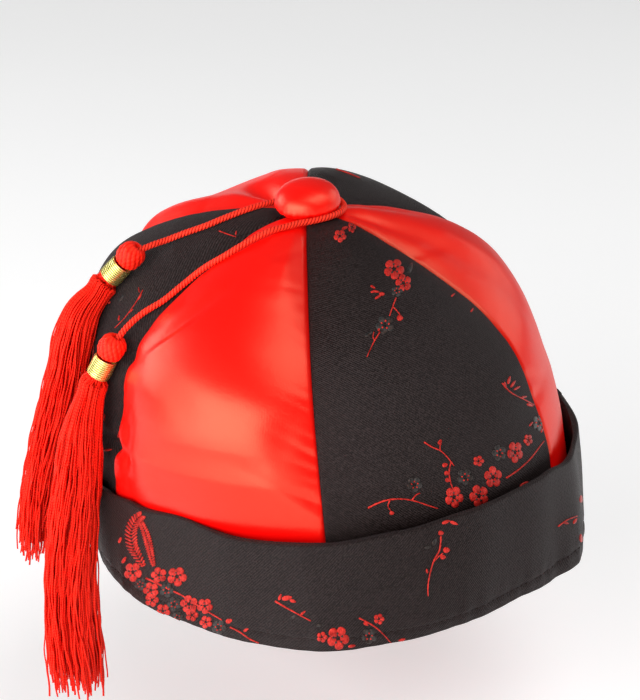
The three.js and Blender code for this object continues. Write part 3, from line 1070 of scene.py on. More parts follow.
    def shape_panel(self, panel: Panel) -> tuple[Points, Points, np.ndarray]:
        """Works out one gore with rolled seam edges.

        Args:
            panel: the panel.

        Returns:
            The outer face and the inner face as (rows, columns, 3), and the cloth coordinates.
        """
        start = self.hole_radius / self.lines[0, 1, 0] / (self.lines.shape[1] - 1)
        u = np.linspace(start, 1, self.rows)[:, None]
        t = np.linspace(-1, 1, self.columns)[None, :]
        s = np.sign(t) * (1 - (1 - np.abs(t)) ** 1.25)
        middle = self.meridian((panel.start + panel.end) / 2, u)[0]
        lap = self.seam_lap / np.maximum(middle, 1) / RAD
        low, high = panel.start - lap, panel.end + lap
        half = middle * (high - low) / 2 * RAD
        angle = low + (high - low) * (s + 1) / 2
        radius, height, out_r, out_z = self.meridian(angle, u)
        full = self.fullness(panel, s, u, half)
        edge = np.clip(1 - (1 - np.abs(s)) * half / self.seam_roll, 0, 1)
        faces = []
        for depth in (self.seam_depth * edge**2, self.wall):
            off = full - depth
            faces.append(self.place(angle, radius + out_r * off, height + out_z * off))
        across = np.broadcast_to(s * half, full.shape)
        along = np.broadcast_to(u * self.seam_length, full.shape)
        return faces[0], faces[1], np.stack([across, along], axis=-1)

    def build_panel(self, panel: Panel, finish: Finish) -> Cloth:
        """Makes one gore and gives it its finish.

        Args:
            panel: the panel.
            finish: its cloth.

        Returns:
            The cloth, ready for woven figures.
        """
        face, lining, flat = self.shape_panel(panel)
        ring = np.concatenate([face, lining[:, ::-1]], axis=1)
        uv = np.concatenate([flat, flat[:, ::-1]], axis=1).reshape(-1, 2)
        width = 2 * self.columns
        faces = grid_faces(self.rows, width, False, True).tolist()
        for base, order in ((0, 1), ((self.rows - 1) * width, -1)):
            for j in range(self.columns - 1):
                faces.append([base + k for k in (j, width - 1 - j, width - 2 - j, j + 1)][::order])
        piece = make_piece(panel.name, ring.reshape(-1, 3), faces, uv)
        dress(piece, finish, panel.slot, panel.node)
        quads = grid_faces(self.rows, self.columns, False, False).tolist()
        return Cloth(panel.name, BVHTree.FromPolygons(face.reshape(-1, 3).tolist(), quads))

    def build(self, finishes: dict[Slot, Finish]) -> list[Cloth]:
        """Makes all six gores."""
        return [self.build_panel(panel, finishes[panel.slot]) for panel in PANELS]


# The cuff: plan angle, and how far its foot, its top, its height and its foot's height leave the even band

CUFF_ROWS = (
    (-90, 0, 2.4, -4, 0), (-74, -0.6, 1.4, -4.6, 0.3), (-62, -0.8, 0.4, -1.6, 0.8),
    (-50, -0.6, 0, 1.9, 1), (-36, -2.2, -1.2, 4.2, 1), (-20, -0.7, -0.2, 2.5, 0.8),
    (-4, 0.8, 0.4, 3.3, 0.6), (11, -1.3, -0.4, 5.5, 1.2), (26, -3, -1.8, 6.8, 1.5),
    (41, -4.2, -2.8, 6.4, 1.3), (54, -2.2, -2.4, 5.6, 0.2), (65, 1.8, -1.6, 2.8, 0),
    (76, -0.4, -2.4, 1.8, 0), (94, -3.2, -3.4, 2.2, 0), (108, -2.4, -2.4, 0.6, 0),
    (119, -0.8, -1.8, -2, 0), (130, 0, 0.6, 0.4, 0), (155, 0.6, 1.6, 1, 0), (185, 0, 0.2, 0, 0),
    (215, 0.6, 1.4, -1, 0), (245, 0.2, 1.6, -2, 0), (270, 0, 2.4, -4, 0),
)

@dataclass
class Cuff:
    """The brocade band, folded up at the rim, with a short lip inside and a stitched lower edge."""

    crown: Crown
    half_width: float = 97.0
    front_depth: float = 103.6
    back_depth: float = 101.0
    height: float = 40.0
    wall: float = 2.2
    clearance: float = 0.7
    lip: float = 1.8
    lip_height: float = 10.0
    steps: int = 480
    fine: int = 5
    outer_rows: int = 13
    mean_radius: float = 100.0
    seam_height: float = 6.2
    stitch_pitch: float = 2.7
    stitch_length: float = 1.9
    stitch_width: float = 0.26
    stitch_height: float = 0.22
    stitch_rings: tuple = ((-1, 0.12), (-0.65, 0.8), (0, 1), (0.65, 0.8), (1, 0.12))
    flat: tuple = (0.62, 0.058)

    def shape(self, angle: np.ndarray, column: int) -> np.ndarray:
        """Reads a column of the cuff's table.

        Args:
            angle: plan angles in degrees.
            column: 1 for the foot, 2 for the top, 3 for the height and 4 for the foot's height.

        Returns:
            The column's value at each angle.
        """
        rows = np.array(CUFF_ROWS, dtype=float)
        turn = np.mod(angle + 90, 360) - 90
        k = np.clip(np.searchsorted(rows[:, 0], turn, side="left") - 1, 0, len(rows) - 2)
        share = smooth(rows[k, 0], rows[k + 1, 0], turn)
        return rows[k, column] * (1 - share) + rows[k + 1, column] * share

    def oval(self, angle: np.ndarray) -> np.ndarray:
        """Gives the even oval's radius at plan angles."""
        c, s = np.cos(angle * RAD), np.sin(angle * RAD)
        return 1 / np.hypot(s / self.half_width, c / np.where(c > 0, self.front_depth, self.back_depth))

    def section(self, angle: np.ndarray) -> np.ndarray:
        """Works out the band's cross-section.

        Args:
            angle: plan angles in degrees.

        Returns:
            Radius and height, shape (angles, points, 2).
        """
        height = self.height + self.shape(angle, 3)
        foot = self.oval(angle) + self.shape(angle, 1)
        top = self.oval(angle) - 0.8 + self.shape(angle, 2)
        c, s = np.cos(angle * RAD), np.sin(angle * RAD)
        crown_foot = self.crown.lines[0, -1, 0] / np.hypot(s, c / self.crown.stretch(angle))
        inside = crown_foot - self.crown.wall - self.clearance
        inner = inside - self.lip
        w = self.wall

        def face(t: float) -> np.ndarray:
            """Gives the outer face's radius at a share of its height."""
            return foot + (top - foot) * t + 0.9 * math.sin(math.pi * t)

        middle = [(face(t), height * t) for t in (0.08, 0.15, 0.28, 0.42, 0.57, 0.72, 0.86)]
        back = [(face(t) - w, height * t) for t in (0.8, 0.6, 0.25)]
        rows = [
            (foot - 1.2, 0),
            (foot - 0.25, 0.45),
            (face(0), 1.6),
            *middle,
            (face(0.97), height - 1.1),
            (face(1) - 0.35, height - 0.25),
            (face(1) - w / 2, height),
            (face(1) - w + 0.35, height - 0.25),
            (face(0.97) - w, height - 1.1),
            *back,
            (np.maximum(foot - w, inside + 2.4), 2.2),
            (inside, 2.2),
            (inside, self.lip_height - 0.8),
            (inside - 0.9, self.lip_height),
            (inner, self.lip_height - 0.8),
            (inner, 1),
            (inside - 0.8, 0),
        ]
        rise = self.shape(angle, 4)
        pairs = [np.stack([r + 0 * angle, z + rise * (1 - z / height)], axis=-1) for r, z in rows]
        return np.stack(pairs, axis=1)

    def ripple(self, angle: np.ndarray, radius: np.ndarray, height: np.ndarray) -> np.ndarray:
        """Works out the ripples along the stitched edge and the softer unevenness above it.

        Args:
            angle: plan angles in degrees.
            radius: the band's radius.
            height: its height.

        Returns:
            How far the cloth moves out.
        """
        chance = np.random.default_rng(31)
        low = np.exp(-(((height - self.seam_height) / 1.1) ** 2)) * -0.42
        small = np.zeros_like(radius)
        broad = np.zeros_like(radius)
        for _ in range(9):
            turns, phase = chance.integers(46, 96), chance.uniform(0, 6.28)
            small = small + np.sin(turns * angle * RAD + phase) / 9
        for _ in range(7):
            turns, phase = chance.integers(5, 22), chance.uniform(0, 6.28)
            tilt = chance.uniform(-0.05, 0.05)
            broad = broad + np.sin(turns * angle * RAD + phase + tilt * height) / 7
        near = np.exp(-np.abs(height - self.seam_height) / 5.5)
        turn = np.mod(angle + 180, 360) - 180
        ridge = 1.8 * np.exp(-np.abs(turn + 6 + 0.1 * (height - 20)) / 10)
        step = 0.9 * smooth(13, 19, turn + 0.06 * height) * (1 - smooth(20, 42, turn))
        return low + 0.85 * small * near + (0.9 * broad + ridge + step) * smooth(1, 8, height)

    def build(self, finish: Finish, stitching: Finish) -> Cloth:
        """Makes the band and its stitching.

        Args:
            finish: the band's cloth.
            stitching: the stitches' thread.

        Returns:
            The cloth, ready for woven figures.
        """
        angle = np.arange(self.steps) * 360 / self.steps
        raw = self.section(angle)
        count = raw.shape[1]
        closed = np.concatenate([raw[:, -1:], raw, raw[:, :2]], axis=1)
        t = (1 + np.arange(count * self.fine) / self.fine) / (closed.shape[1] - 1)
        dense = np.stack([rounded(row, t) for row in closed])
        outer = self.outer_rows * self.fine
        turn = angle[:, None]
        moved = self.ripple(turn, dense[..., 0], dense[..., 1])
        shift = np.where(np.arange(dense.shape[1]) < outer, moved, 0)
        radius, height = dense[..., 0] + shift, np.maximum(dense[..., 1], 0)
        points = np.stack([radius * np.sin(turn * RAD), -radius * np.cos(turn * RAD), height], axis=-1)
        run = np.cumsum(np.hypot(*np.diff(dense[0], axis=0, prepend=dense[0, :1]).T))
        uv = np.stack(np.broadcast_arrays(turn * RAD * self.mean_radius, run[None, :]), axis=-1)
        faces = grid_faces(self.steps, dense.shape[1], True, True)
        wrap = 2 * math.pi * self.mean_radius
        piece = make_piece("cuff_band", points.reshape(-1, 3), faces, uv.reshape(-1, 2), wrap)
        dress(piece, finish, Slot.BROCADE, "cuff")
        quads = grid_faces(self.steps, outer, True, False).tolist()
        tree = BVHTree.FromPolygons(points[:, :outer].reshape(-1, 3).tolist(), quads)
        stitches = self.build_stitches(tree, stitching)
        return Cloth("cuff_band", tree)

    def build_stitches(self, tree: BVHTree, finish: Finish) -> Piece:
        """Lays a row of small stitches round the lower edge.

        Args:
            tree: the band's outer face.
            finish: the stitches' thread.

        Returns:
            The stitching.
        """
        pile = MeshPile()
        total = int(2 * math.pi * self.mean_radius / self.stitch_pitch)
        turn = np.arange(6)[:, None] * 2 * math.pi / 6
        faces = tube_faces(len(self.stitch_rings), len(turn))
        for k in range(total):
            a = 2 * math.pi * k / total
            out = Vector((math.sin(a), -math.cos(a), 0))
            hit = tree.ray_cast(out * 140 + Vector((0, 0, self.seam_height)), -out)
            if hit[0] is None:
                continue
            side, up = np.array(out), np.array((0, 0, 1.0))
            centre = np.array(hit[0]) + side * 0.02
            way = np.array((math.cos(a), math.sin(a), 0.04)) * self.stitch_length / 2
            ring = side * np.cos(turn) * self.stitch_height + up * np.sin(turn) * self.stitch_width
            rows = [centre + way * along + ring * share for along, share in self.stitch_rings]
            pile.add(np.vstack(rows), faces)
        return dress(pile.piece("cuff_stitching"), finish, Slot.BROCADE)


# The button


@dataclass
class Button:
    """A domed button covered in satin, gathered under its rim."""

    crown: Crown
    radius: float = 12.3
    dome: float = 10.3
    tilt: float = 7.0
    shank: float = 3.6
    shank_depth: float = 6.4
    height: float = 133.7
    aside: float = 0.5
    pleat: float = 0.14
    rows: int = 70
    sides: int = 128

    def profile(self) -> np.ndarray:
        """Works out the button's line from the shank's foot to the top of the dome.

        Returns:
            Rows of radius and height.
        """
        r, d, deep = self.radius, self.dome, self.shank_depth
        under = [(0.01, -deep), (self.shank, -deep), (self.shank, -0.6), (r - 2.6, 0.1)]
        rim = [(r - 1.0, 0.5), (r - 0.05, 1.9), (r - 0.2, d * 0.36), (r - 1.0, d * 0.57)]
        top = [(r - 2.9, d * 0.78), (r - 5.9, d * 0.92), (r - 9.2, d * 0.985), (0.01, d)]
        return rounded(np.array(under + rim + top), np.linspace(0, 1, self.rows))

    def build(self, finish: Finish) -> Piece:
        """Makes the button where the crown's gores meet.

        Args:
            finish: its satin.

        Returns:
            The button.
        """
        line = self.profile()
        radius, height = line[:, :1], line[:, 1:]
        turn = np.linspace(0, 2 * math.pi, self.sides, endpoint=False)[None, :]
        gather = np.exp(-(((height - 0.8) / 2.0) ** 2)) * (radius > 8)
        pleats = self.pleat * gather * (np.sin(31 * turn) + 0.6 * np.sin(19 * turn + 1.3))
        soft = 0.22 * np.sin(2 * turn + 0.6) * (radius / self.radius) * (radius > 4)
        wide = np.maximum(radius + pleats + soft, 0.01)
        x, y, z = np.broadcast_arrays(wide * np.cos(turn), wide * np.sin(turn), height)
        c, s = math.cos(self.tilt * RAD), math.sin(self.tilt * RAD)
        place = (self.crown.apex_x + self.aside, self.crown.apex_y, self.height)
        points = (np.stack([x, y * c - z * s, y * s + z * c], axis=-1) + place).reshape(-1, 3)
        piece = make_piece("covered_button", points, tube_faces(self.rows, self.sides), points[:, :2])
        dress(piece, finish, Slot.SATIN, "button")
        return piece


# The cords: the points that each follows from behind the button to its tassel's head

FRONT_CORD = (
    (-6.6, 10.9, 135.7), (-1.5, 9.1, 134.8), (3.6, 4, 134), (5.6, -3, 133.6), (4, -9.7, 133.7),
    (-0.6, -14.6, 133.7), (-6.2, -17.2, 133.4), (-11.5, -19.2, 133.4), (-16.4, -21.8, 133.2),
    (-21.9, -24.5, 132.8), (-27.5, -26.4, 131), (-33, -28.2, 128.7), (-39, -29.3, 125.5),
    (-46.7, -27.9, 120.6), (-54.6, -26.9, 114.2), (-62.6, -28.7, 108.5), (-70.3, -30.8, 104.6),
    (-76.2, -33.9, 100.6), (-80.6, -36.2, 95.9),
)
BACK_CORD = (
    (-10.4, 11, 135.7), (-14.5, 9.9, 134.6), (-18.9, 6.7, 133.6), (-22.6, 3.6, 133.6),
    (-26.2, 0.8, 133.8), (-31.4, -1.9, 133.2), (-39.4, -3.8, 131), (-47, -5.2, 128.5),
    (-54.6, -5.1, 126), (-61.6, -6, 123.8), (-67, -8.6, 123), (-73.2, -11, 121.3),
)


@dataclass
class TwistedCord:
    """A limp cord of three plies, from behind the button to a tassel's head."""

    name: str
    node: str
    route: tuple
    diameter: float = 2.4
    plies: int = 3
    lay: float = 4.2
    sides: int = 18
    step: float = 0.15

    def centreline(self) -> Points:
        """Works out the line that the cord follows.

        Returns:
            Evenly spaced points in millimetres.
        """
        dense = centripetal(np.array(self.route, dtype=float), 60)
        run = run_along(dense)
        places = np.linspace(0, run[-1], int(run[-1] / self.step))
        return np.stack([np.interp(places, run, dense[:, k]) for k in range(3)], axis=1)

    def build(self, finish: Finish) -> tuple[Piece, Points]:
        """Makes the twisted tube.

        Args:
            finish: the cord's thread.

        Returns:
            The piece and its centreline.
        """
        line = self.centreline()
        way = unit(np.gradient(line, axis=0))
        side = unit(np.cross(way[0], (0.0, 0.0, 1.0)))
        turn = np.arange(self.sides) * 2 * math.pi / self.sides
        c, s = np.cos(turn)[:, None], np.sin(turn)[:, None]
        rows = []
        plies = []
        for place, along, run in zip(line, way, run_along(line)):
            side = unit(side - along * side.dot(along))
            twist = self.plies * (turn + 2 * math.pi * run / self.lay)
            plies.append(twist / (2 * math.pi))
            radius = self.diameter / 2 * (0.78 + 0.23 * np.abs(np.sin(twist / 2)) ** 0.7)
            rows.append(place + radius[:, None] * (c * side + s * np.cross(along, side)))
        # The ply count in the first cloth coordinate places the ply bump and the painted highlight and shade
        # on each ply.
        phase = np.concatenate(plies)
        uv = np.stack([phase, phase * 0], axis=1)
        faces = tube_faces(len(line), self.sides)
        piece = make_piece(self.name, np.vstack(rows), faces, uv, float(self.plies))
        return dress(piece, finish, Slot.CORD, self.node), line

    def declare(self, piece: Piece, line: Points, ends: list[Piece]) -> None:
        """Args:
            piece: the cord; not used.
            line: its centreline; not used.
            ends: the pieces that go with it; not used.
        """


# The tassels: rows of a fringe's middle line, with its half width across and its half depth

UPPER_FRINGE = (
    (-88.6, -10, 105.2, 5, 4.6), (-94.6, -12, 98.4, 6.6, 6.2), (-98.9, -15.2, 88.4, 7.4, 6.9),
    (-101.7, -17, 77.2, 7.6, 7.2), (-105.9, -17.4, 60.8, 7.9, 7.4), (-110.6, -17, 43.6, 8, 7.6),
    (-115, -16, 26.2, 7.8, 7.6), (-118.4, -15, 9.5, 7.2, 7), (-120.2, -14.6, -1.6, 6.4, 6.4),
)
LOWER_FRINGE = (
    (-91.4, -36.6, 74.4, 5.4, 5.2), (-94.8, -39.6, 62.5, 7.6, 7.2), (-97.6, -41.8, 46.6, 9, 8),
    (-100.6, -43.6, 27, 9.4, 8.2), (-102.9, -44, 6.4, 9.8, 8.4), (-104, -43.6, -14, 10.8, 8.6),
    (-104.4, -43, -32, 11.4, 8.6), (-104.4, -43, -46.5, 11, 8.2),
)


@dataclass
class Tassel:
    """A thread-covered head, a gold wrap and a long fringe of loose threads.

    head is the middle of the head, way is how it hangs, and rows is the fringe's table.
    """

    label: str
    number: int
    head: tuple
    way: tuple
    rows: tuple
    threads: int
    seed: int
    head_radius: float = 5.2
    head_length: float = 9.2
    head_strands: int = 14
    head_slant: float = 0.95
    head_sides: int = 160
    wrap_radius: float = 4.6
    wrap_bore: float = 3.8
    wrap_length: float = 7.8
    wrap_gap: float = 0.3
    wrap_pitch: float = 0.84
    wrap_sides: int = 72
    thread_radius: float = 0.44
    ply_pitch: float = 1.1
    segments: int = 66
    stray_every: int = 19

    def axes(self) -> tuple[Points, Points, Points]:
        """Works out the head's own directions.

        Returns:
            The way along, and two across it.
        """
        along = unit(np.array(self.way, dtype=float))
        side = unit(np.array((0, 1.0, 0)) - along * along[1])
        return along, side, np.cross(along, side)

    def down(self, distance: float) -> Points:
        """Gives the place on the head's axis at a distance from where the cord enters."""
        return np.array(self.head) + self.axes()[0] * (distance - self.head_length / 2)

    def turned(
        self,
        line: np.ndarray,
        start: Points,
        sides: int,
        shape: Callable[[np.ndarray, np.ndarray], np.ndarray],
    ) -> Points:
        """Turns a line of radius and distance about the head's axis.

        Args:
            line: the rows.
            start: the point of distance 0.
            sides: points in each ring.
            shape: gives how much each ring's radius changes, by turn and distance.

        Returns:
            The points as (rows, sides, 3).
        """
        along, side, other = self.axes()
        turn = np.arange(sides)[None, :] * 2 * math.pi / sides
        radius = line[:, :1] * shape(turn, line[:, 1:2])
        ring = radius[..., None] * (np.cos(turn)[..., None] * side + np.sin(turn)[..., None] * other)
        return start + line[:, 1, None, None] * along + ring

    def build_head(self, finish: Finish) -> Piece:
        """Makes the ball of wound thread at the cord's end.

        Args:
            finish: its thread.

        Returns:
            The head.
        """
        r, end = self.head_radius, self.head_length
        neck = [(0.3, 1.6), (1.25, 1.5), (1.5, 0.5), (2.3, -0.2), (3.6, 0.35), (4.75, 1.8)]
        ball = [(r, 3.8), (r, 5.6), (4.7, 7.5), (3.9, 8.7), (2.6, end), (0.4, end)]
        line = rounded(np.array(neck + ball), np.linspace(0, 1, 48))

        def braid(turn: np.ndarray, distance: np.ndarray) -> np.ndarray:
            """Lays plump strands over the ball, one way over the other.

            Args:
                turn: turns about the axis.
                distance: distances along it.

            Returns:
                The radius as a share.
            """
            around, slant = self.head_strands / 2 * turn, self.head_slant * distance
            one = np.abs(np.sin(around + slant))
            other = np.abs(np.sin(around - slant + 0.5 * np.sin(2 * turn)))
            return 0.90 + 0.055 * one**0.6 + 0.05 * other**0.6 + 0.02 * np.sin(3 * turn + 1.1 * distance)

        points = self.turned(line, self.down(0), self.head_sides, braid).reshape(-1, 3)
        turn = np.arange(self.head_sides)[None, :] / self.head_sides
        # The strand count in the first cloth coordinate places the strand bump and the painted highlight and
        # shade on each strand.
        phase = self.head_strands * turn + self.head_slant / math.pi * line[:, 1:2]
        uv = np.stack([phase, phase * 0], axis=-1).reshape(-1, 2)
        faces = tube_faces(len(line), self.head_sides)
        piece = make_piece(f"{self.label}_tassel_head", points, faces, uv, float(self.head_strands))
        return dress(piece, finish, Slot.THREAD, f"tassel_head_{self.number}")

    def build_wrap(self, finish: Finish) -> Piece:
        """Makes the gold thread wound round the fringe's neck.

        Args:
            finish: its thread.

        Returns:
            The wrap.
        """
        distance = np.linspace(0, self.wrap_length, 120)
        outer = np.stack([np.full_like(distance, self.wrap_radius - 0.1), distance], axis=1)
        start = self.down(self.head_length + self.wrap_gap)

        def turns(turn: np.ndarray, along: np.ndarray) -> np.ndarray:
            """Winds the thread as a fine screw, a little proud at the middle turns.

            Args:
                turn: turns about the axis.
                along: distances along it.

            Returns:
                The radius as a share.
            """
            screw = np.abs(np.sin(math.pi * (along / self.wrap_pitch) + turn / 2))
            ends = smooth(0, 0.5, along) * smooth(0, 0.5, self.wrap_length - along)
            uneven = 0.008 * np.sin(2 * turn + along) + 0.006 * np.sin(7 * along + 3 * turn)
            return 0.945 + (0.035 * screw**0.7 + 0.03) * ends + uneven

        bore = np.array([(self.wrap_bore, self.wrap_length), (self.wrap_bore, 0.0)])
        skin = self.turned(outer, start, self.wrap_sides, turns)
        inside = self.turned(bore, start, self.wrap_sides, lambda turn, along: 1 + 0 * turn)
        points = np.concatenate([skin, inside])
        turn = np.arange(self.wrap_sides)[None, :] / self.wrap_sides
        rows = np.concatenate([distance, bore[:, 1]])[:, None]
        # The turn count in the first cloth coordinate places the turn bump and the painted highlight and
        # shade on each turn.
        uv = np.stack(np.broadcast_arrays(rows / self.wrap_pitch + turn, 30 * turn), axis=-1).reshape(-1, 2)
        faces = grid_faces(points.shape[0], self.wrap_sides, True, True)
        piece = make_piece(f"{self.label}_gold_wrap", points.reshape(-1, 3), faces, uv, 1.0)
        return dress(piece, finish, Slot.GOLD, f"gold_wrap_{self.number}")

    def fringe_rows(self) -> np.ndarray:
        """Works out the fringe's table from inside the wrap to its end.

        Returns:
            Rows of place, half width and half depth.
        """
        inner = self.wrap_bore - 0.5
        neck = self.head_length + self.wrap_gap + 2.0
        below = neck + self.wrap_length - 1.2
        first = [(neck, inner), (below, inner), (below + 2.2, inner + 2.1)]
        rows = np.array([(*self.down(at), wide, wide) for at, wide in first] + list(self.rows))
        return rounded(rows, np.linspace(0, 1, 240))

    def build_fringe(self, finish: Finish) -> Piece:
        """Hangs the loose threads along the fringe's middle line.

        Args:
            finish: their thread.

        Returns:
            The fringe.
        """
        places = self.fringe_rows()
        run = run_along(places[:, :3])
        total = run[-1]
        way = unit(np.gradient(places[:, :3], axis=0))
        across = unit(np.array((1.0, 0, 0)) - way * way[:, :1])
        frame_rows = np.concatenate([places, across, np.cross(way, across)], axis=1)
        chance = np.random.default_rng(self.seed)
        pile = MeshPile()
        faces = tube_faces(self.segments + 1, 3)
        for k in range(self.threads):
            share = math.sqrt(chance.uniform(0.03, 1.0))
            angle = chance.uniform(0, 2 * math.pi)
            stray = k % self.stray_every == 0
            length = total * min(chance.normal(0.955, 0.035), 1.03)
            length = length - (chance.uniform(0, 40) if stray else 0)
            distance = np.linspace(0, length, self.segments + 1)
            hang = distance / total
            at = np.stack([np.interp(distance, run, column) for column in frame_rows.T], axis=1)
            side, deep = at[:, 5:8], at[:, 8:11]
            extra = np.maximum(distance - total, 0)[:, None] * way[-1]
            drift = angle + chance.normal(0, 0.35) * hang + 0.12 * np.sin(hang * 9 + angle)
            spread = share * (1 + chance.normal(0, 0.07) * hang)
            x = at[:, 3] * spread * np.cos(drift)
            y = at[:, 4] * spread * np.sin(drift)
            for size, low, high in ((0.45, 0.07, 0.15), (0.15, 0.3, 0.6)):
                wave, phase, other = chance.uniform((low, 0, 0), (high, 6.28, 6.28))
                grow = size * smooth(0.05, 0.3, hang)
                x = x + grow * np.sin(wave * distance + phase)
                y = y + grow * np.sin(wave * distance * 0.9 + other)
            if stray:
                x = x + chance.uniform(-4.5, 4.5) * hang**2.2
                y = y + chance.uniform(-3.0, 3.0) * hang**2.2
            middle = at[:, :3] + extra + x[:, None] * side + y[:, None] * deep
            radius = self.thread_radius * chance.uniform(0.72, 1.1)
            corners = [2 * math.pi * j / 3 + angle for j in range(3)]
            points = [middle + radius * (math.cos(b) * side + math.sin(b) * deep) for b in corners]
            # The ply count along each thread places the ply bump and the painted highlight and shade on each
            # ply.
            plies = np.repeat(distance / self.ply_pitch + 7 * angle, 3)
            pile.add(np.stack(points, axis=1).reshape(-1, 3), faces, np.stack([plies, plies * 0], axis=1))
        piece = pile.piece(f"{self.label}_fringe")
        return dress(piece, finish, Slot.THREAD, f"fringe_{self.number}")

    def build(self, thread: Finish, gold: Finish) -> list[Piece]:
        """Makes the tassel.

        Args:
            thread: the thread of head and fringe.
            gold: the wrap's thread.

        Returns:
            Its head and its wrap, which go with the cord.
        """
        made = [self.build_head(thread), self.build_wrap(gold)]
        self.build_fringe(thread)
        return made


# Woven figures


@dataclass(frozen=True)
class Blossom:
    """A five-petalled blossom: middle, width, turn in degrees, how narrow it is seen, and its thread."""

    x: float
    y: float
    size: float
    turn: float
    weft: Weft
    squeeze: float = 1.0


@dataclass(frozen=True)
class Twig:
    """A twig through a few points, with its width at the start and at the end."""

    width: float
    tip: float
    weft: Weft
    points: tuple


@dataclass(frozen=True)
class Bud:
    """A bud or petal: middle, length, width and turn in degrees."""

    x: float
    y: float
    length: float
    width: float
    turn: float
    weft: Weft


@dataclass(frozen=True)
class Feather:
    """A long leaf of slanting ribs along a line, with its width."""

    width: float
    weft: Weft
    points: tuple


R, K = Weft.RED, Weft.BLACK

# Figures by their place in the photograph, in pixels.
FRONT_PANEL_FIGURES = (
    Blossom(394, 269, 21, 10, R), Blossom(403.5, 283, 18, 40, R, 0.9), Blossom(397, 291, 12, 0, K),
    Blossom(340, 236, 13, 15, R), Blossom(352, 227, 12, 0, R, 0.7), Bud(345, 228, 7, 3, 20, R),
    Bud(373, 287, 6, 2.4, -30, R), Bud(376, 291.5, 8, 2.4, -10, R), Bud(378, 297, 8, 2.4, 30, R),
    Bud(382, 294, 6, 4, 0, R), Bud(372.5, 292, 4, 2, 0, R),
    Twig(1.8, 1.1, R, ((396, 298), (393, 306), (389.5, 316))), Bud(400, 318, 6.5, 6, 0, R),
    Twig(1.3, 0.9, R, ((393, 307), (397, 311), (400, 315))), Blossom(385, 325, 19, 25, K),
    Bud(369, 334, 10, 4, 30, K), Twig(1.7, 1.0, R, ((380, 332), (375, 340), (371, 348), (367, 357))),
    Twig(1.4, 0.8, R, ((375, 341), (373, 337), (374, 332))), Bud(379, 329, 5, 2.4, 80, R),
    Bud(453, 295, 5, 2, 40, R), Bud(472, 310, 5, 2, 60, R), Bud(410, 268, 12, 5, 70, K),
)
FRONT_SPRAY_FIGURES = (
    Twig(
        1.9, 1.2, R, ((368, 508), (378, 503), (390, 499.5), (403, 499), (415, 501), (427, 505), (438, 508.5))
    ),
    Twig(1.5, 1.0, R, ((390, 500), (388, 506), (391, 511))), Bud(392, 513, 5, 4, 0, R),
    Twig(1.5, 0.9, R, ((412, 500), (416, 495), (420, 493))), Blossom(414.6, 484.5, 16, 12, K),
    Twig(1.7, 1.1, R, ((424, 442), (432, 447), (441, 451), (448, 458), (454, 466))),
    Bud(440, 442, 6, 4, 60, R), Twig(1.2, 0.8, R, ((440, 450), (440, 446), (441, 444))),
    Bud(445, 465, 6, 4.6, 20, R), Bud(447, 473, 6, 4.6, 10, R), Bud(448, 480, 6, 4.4, 0, R),
    Twig(1.4, 1.2, R, ((451, 462), (449, 472), (451, 484), (454, 490))),
    Blossom(454, 497, 22, 8, R, 0.85), Blossom(479, 496, 23, 30, R, 0.85),
    Blossom(493, 477, 22, 50, R, 0.82), Blossom(515, 452, 22, 20, R, 0.72),
    Blossom(478.5, 461, 11, 0, R), Blossom(528, 440, 12, 20, R, 0.75), Blossom(465, 477, 17, 10, K),
    Blossom(499, 453, 17, 35, K, 0.85), Blossom(538, 423, 17, 5, K, 0.75), Bud(522, 486, 8, 4, 60, R),
    Bud(526, 483, 6, 3, 20, R), Bud(531, 424, 6, 2, 50, R), Bud(542, 430, 6, 2, 70, R),
    Twig(1.6, 0.9, R, ((506, 478), (518, 470), (531, 458), (540, 446), (544, 441))),
    Twig(1.5, 1.0, R, ((502, 383), (507, 389), (513, 394), (523, 399), (534, 405))),
    Bud(509, 380, 9, 3, 75, R), Bud(513, 384, 9, 2.6, 55, R), Bud(517, 388, 8, 2.4, 30, R),
    Bud(505, 385, 7, 2.6, 100, R), Bud(524, 397, 6, 2.4, 10, R), Bud(530, 405, 7, 3, -20, R),
)
CUFF_LEFT_FIGURES = (
    Feather(12, R, ((141, 516), (135, 522), (131.5, 533), (133, 546), (138, 556), (144, 566))),
    Feather(7.5, R, ((142, 524), (146, 534), (149, 545), (151.5, 556), (154, 566))),
    Blossom(133, 572, 20, 15, R, 0.9), Blossom(159, 575, 16, 40, R), Blossom(177, 576.5, 20, 10, R),
    Blossom(151, 590, 16, 30, R), Blossom(152, 600, 14, 0, R), Blossom(163, 611, 15, 20, R),
    Blossom(189, 604, 18, 45, R), Blossom(205, 606, 16, 15, R), Blossom(192, 615, 13, 0, R),
    Blossom(206, 622, 13, 30, R), Blossom(167, 590, 15, 10, K), Blossom(174.5, 604, 15, 30, K),
    Blossom(219, 627, 15, 10, K), Blossom(141, 584, 13, 10, K), Blossom(178, 617, 12, 0, K),
    Twig(2.0, 1.2, R, ((146, 578), (168, 588.5), (185, 597), (202, 608), (222, 620))),
    Bud(229, 621, 7, 5, 20, R), Twig(1.7, 1.0, R, ((230, 627), (240, 632), (250, 639), (259, 643))),
    Bud(246, 630, 6, 3, 30, R), Bud(120, 540, 7, 3, 70, R), Bud(124, 560, 8, 3.5, 60, R),
)
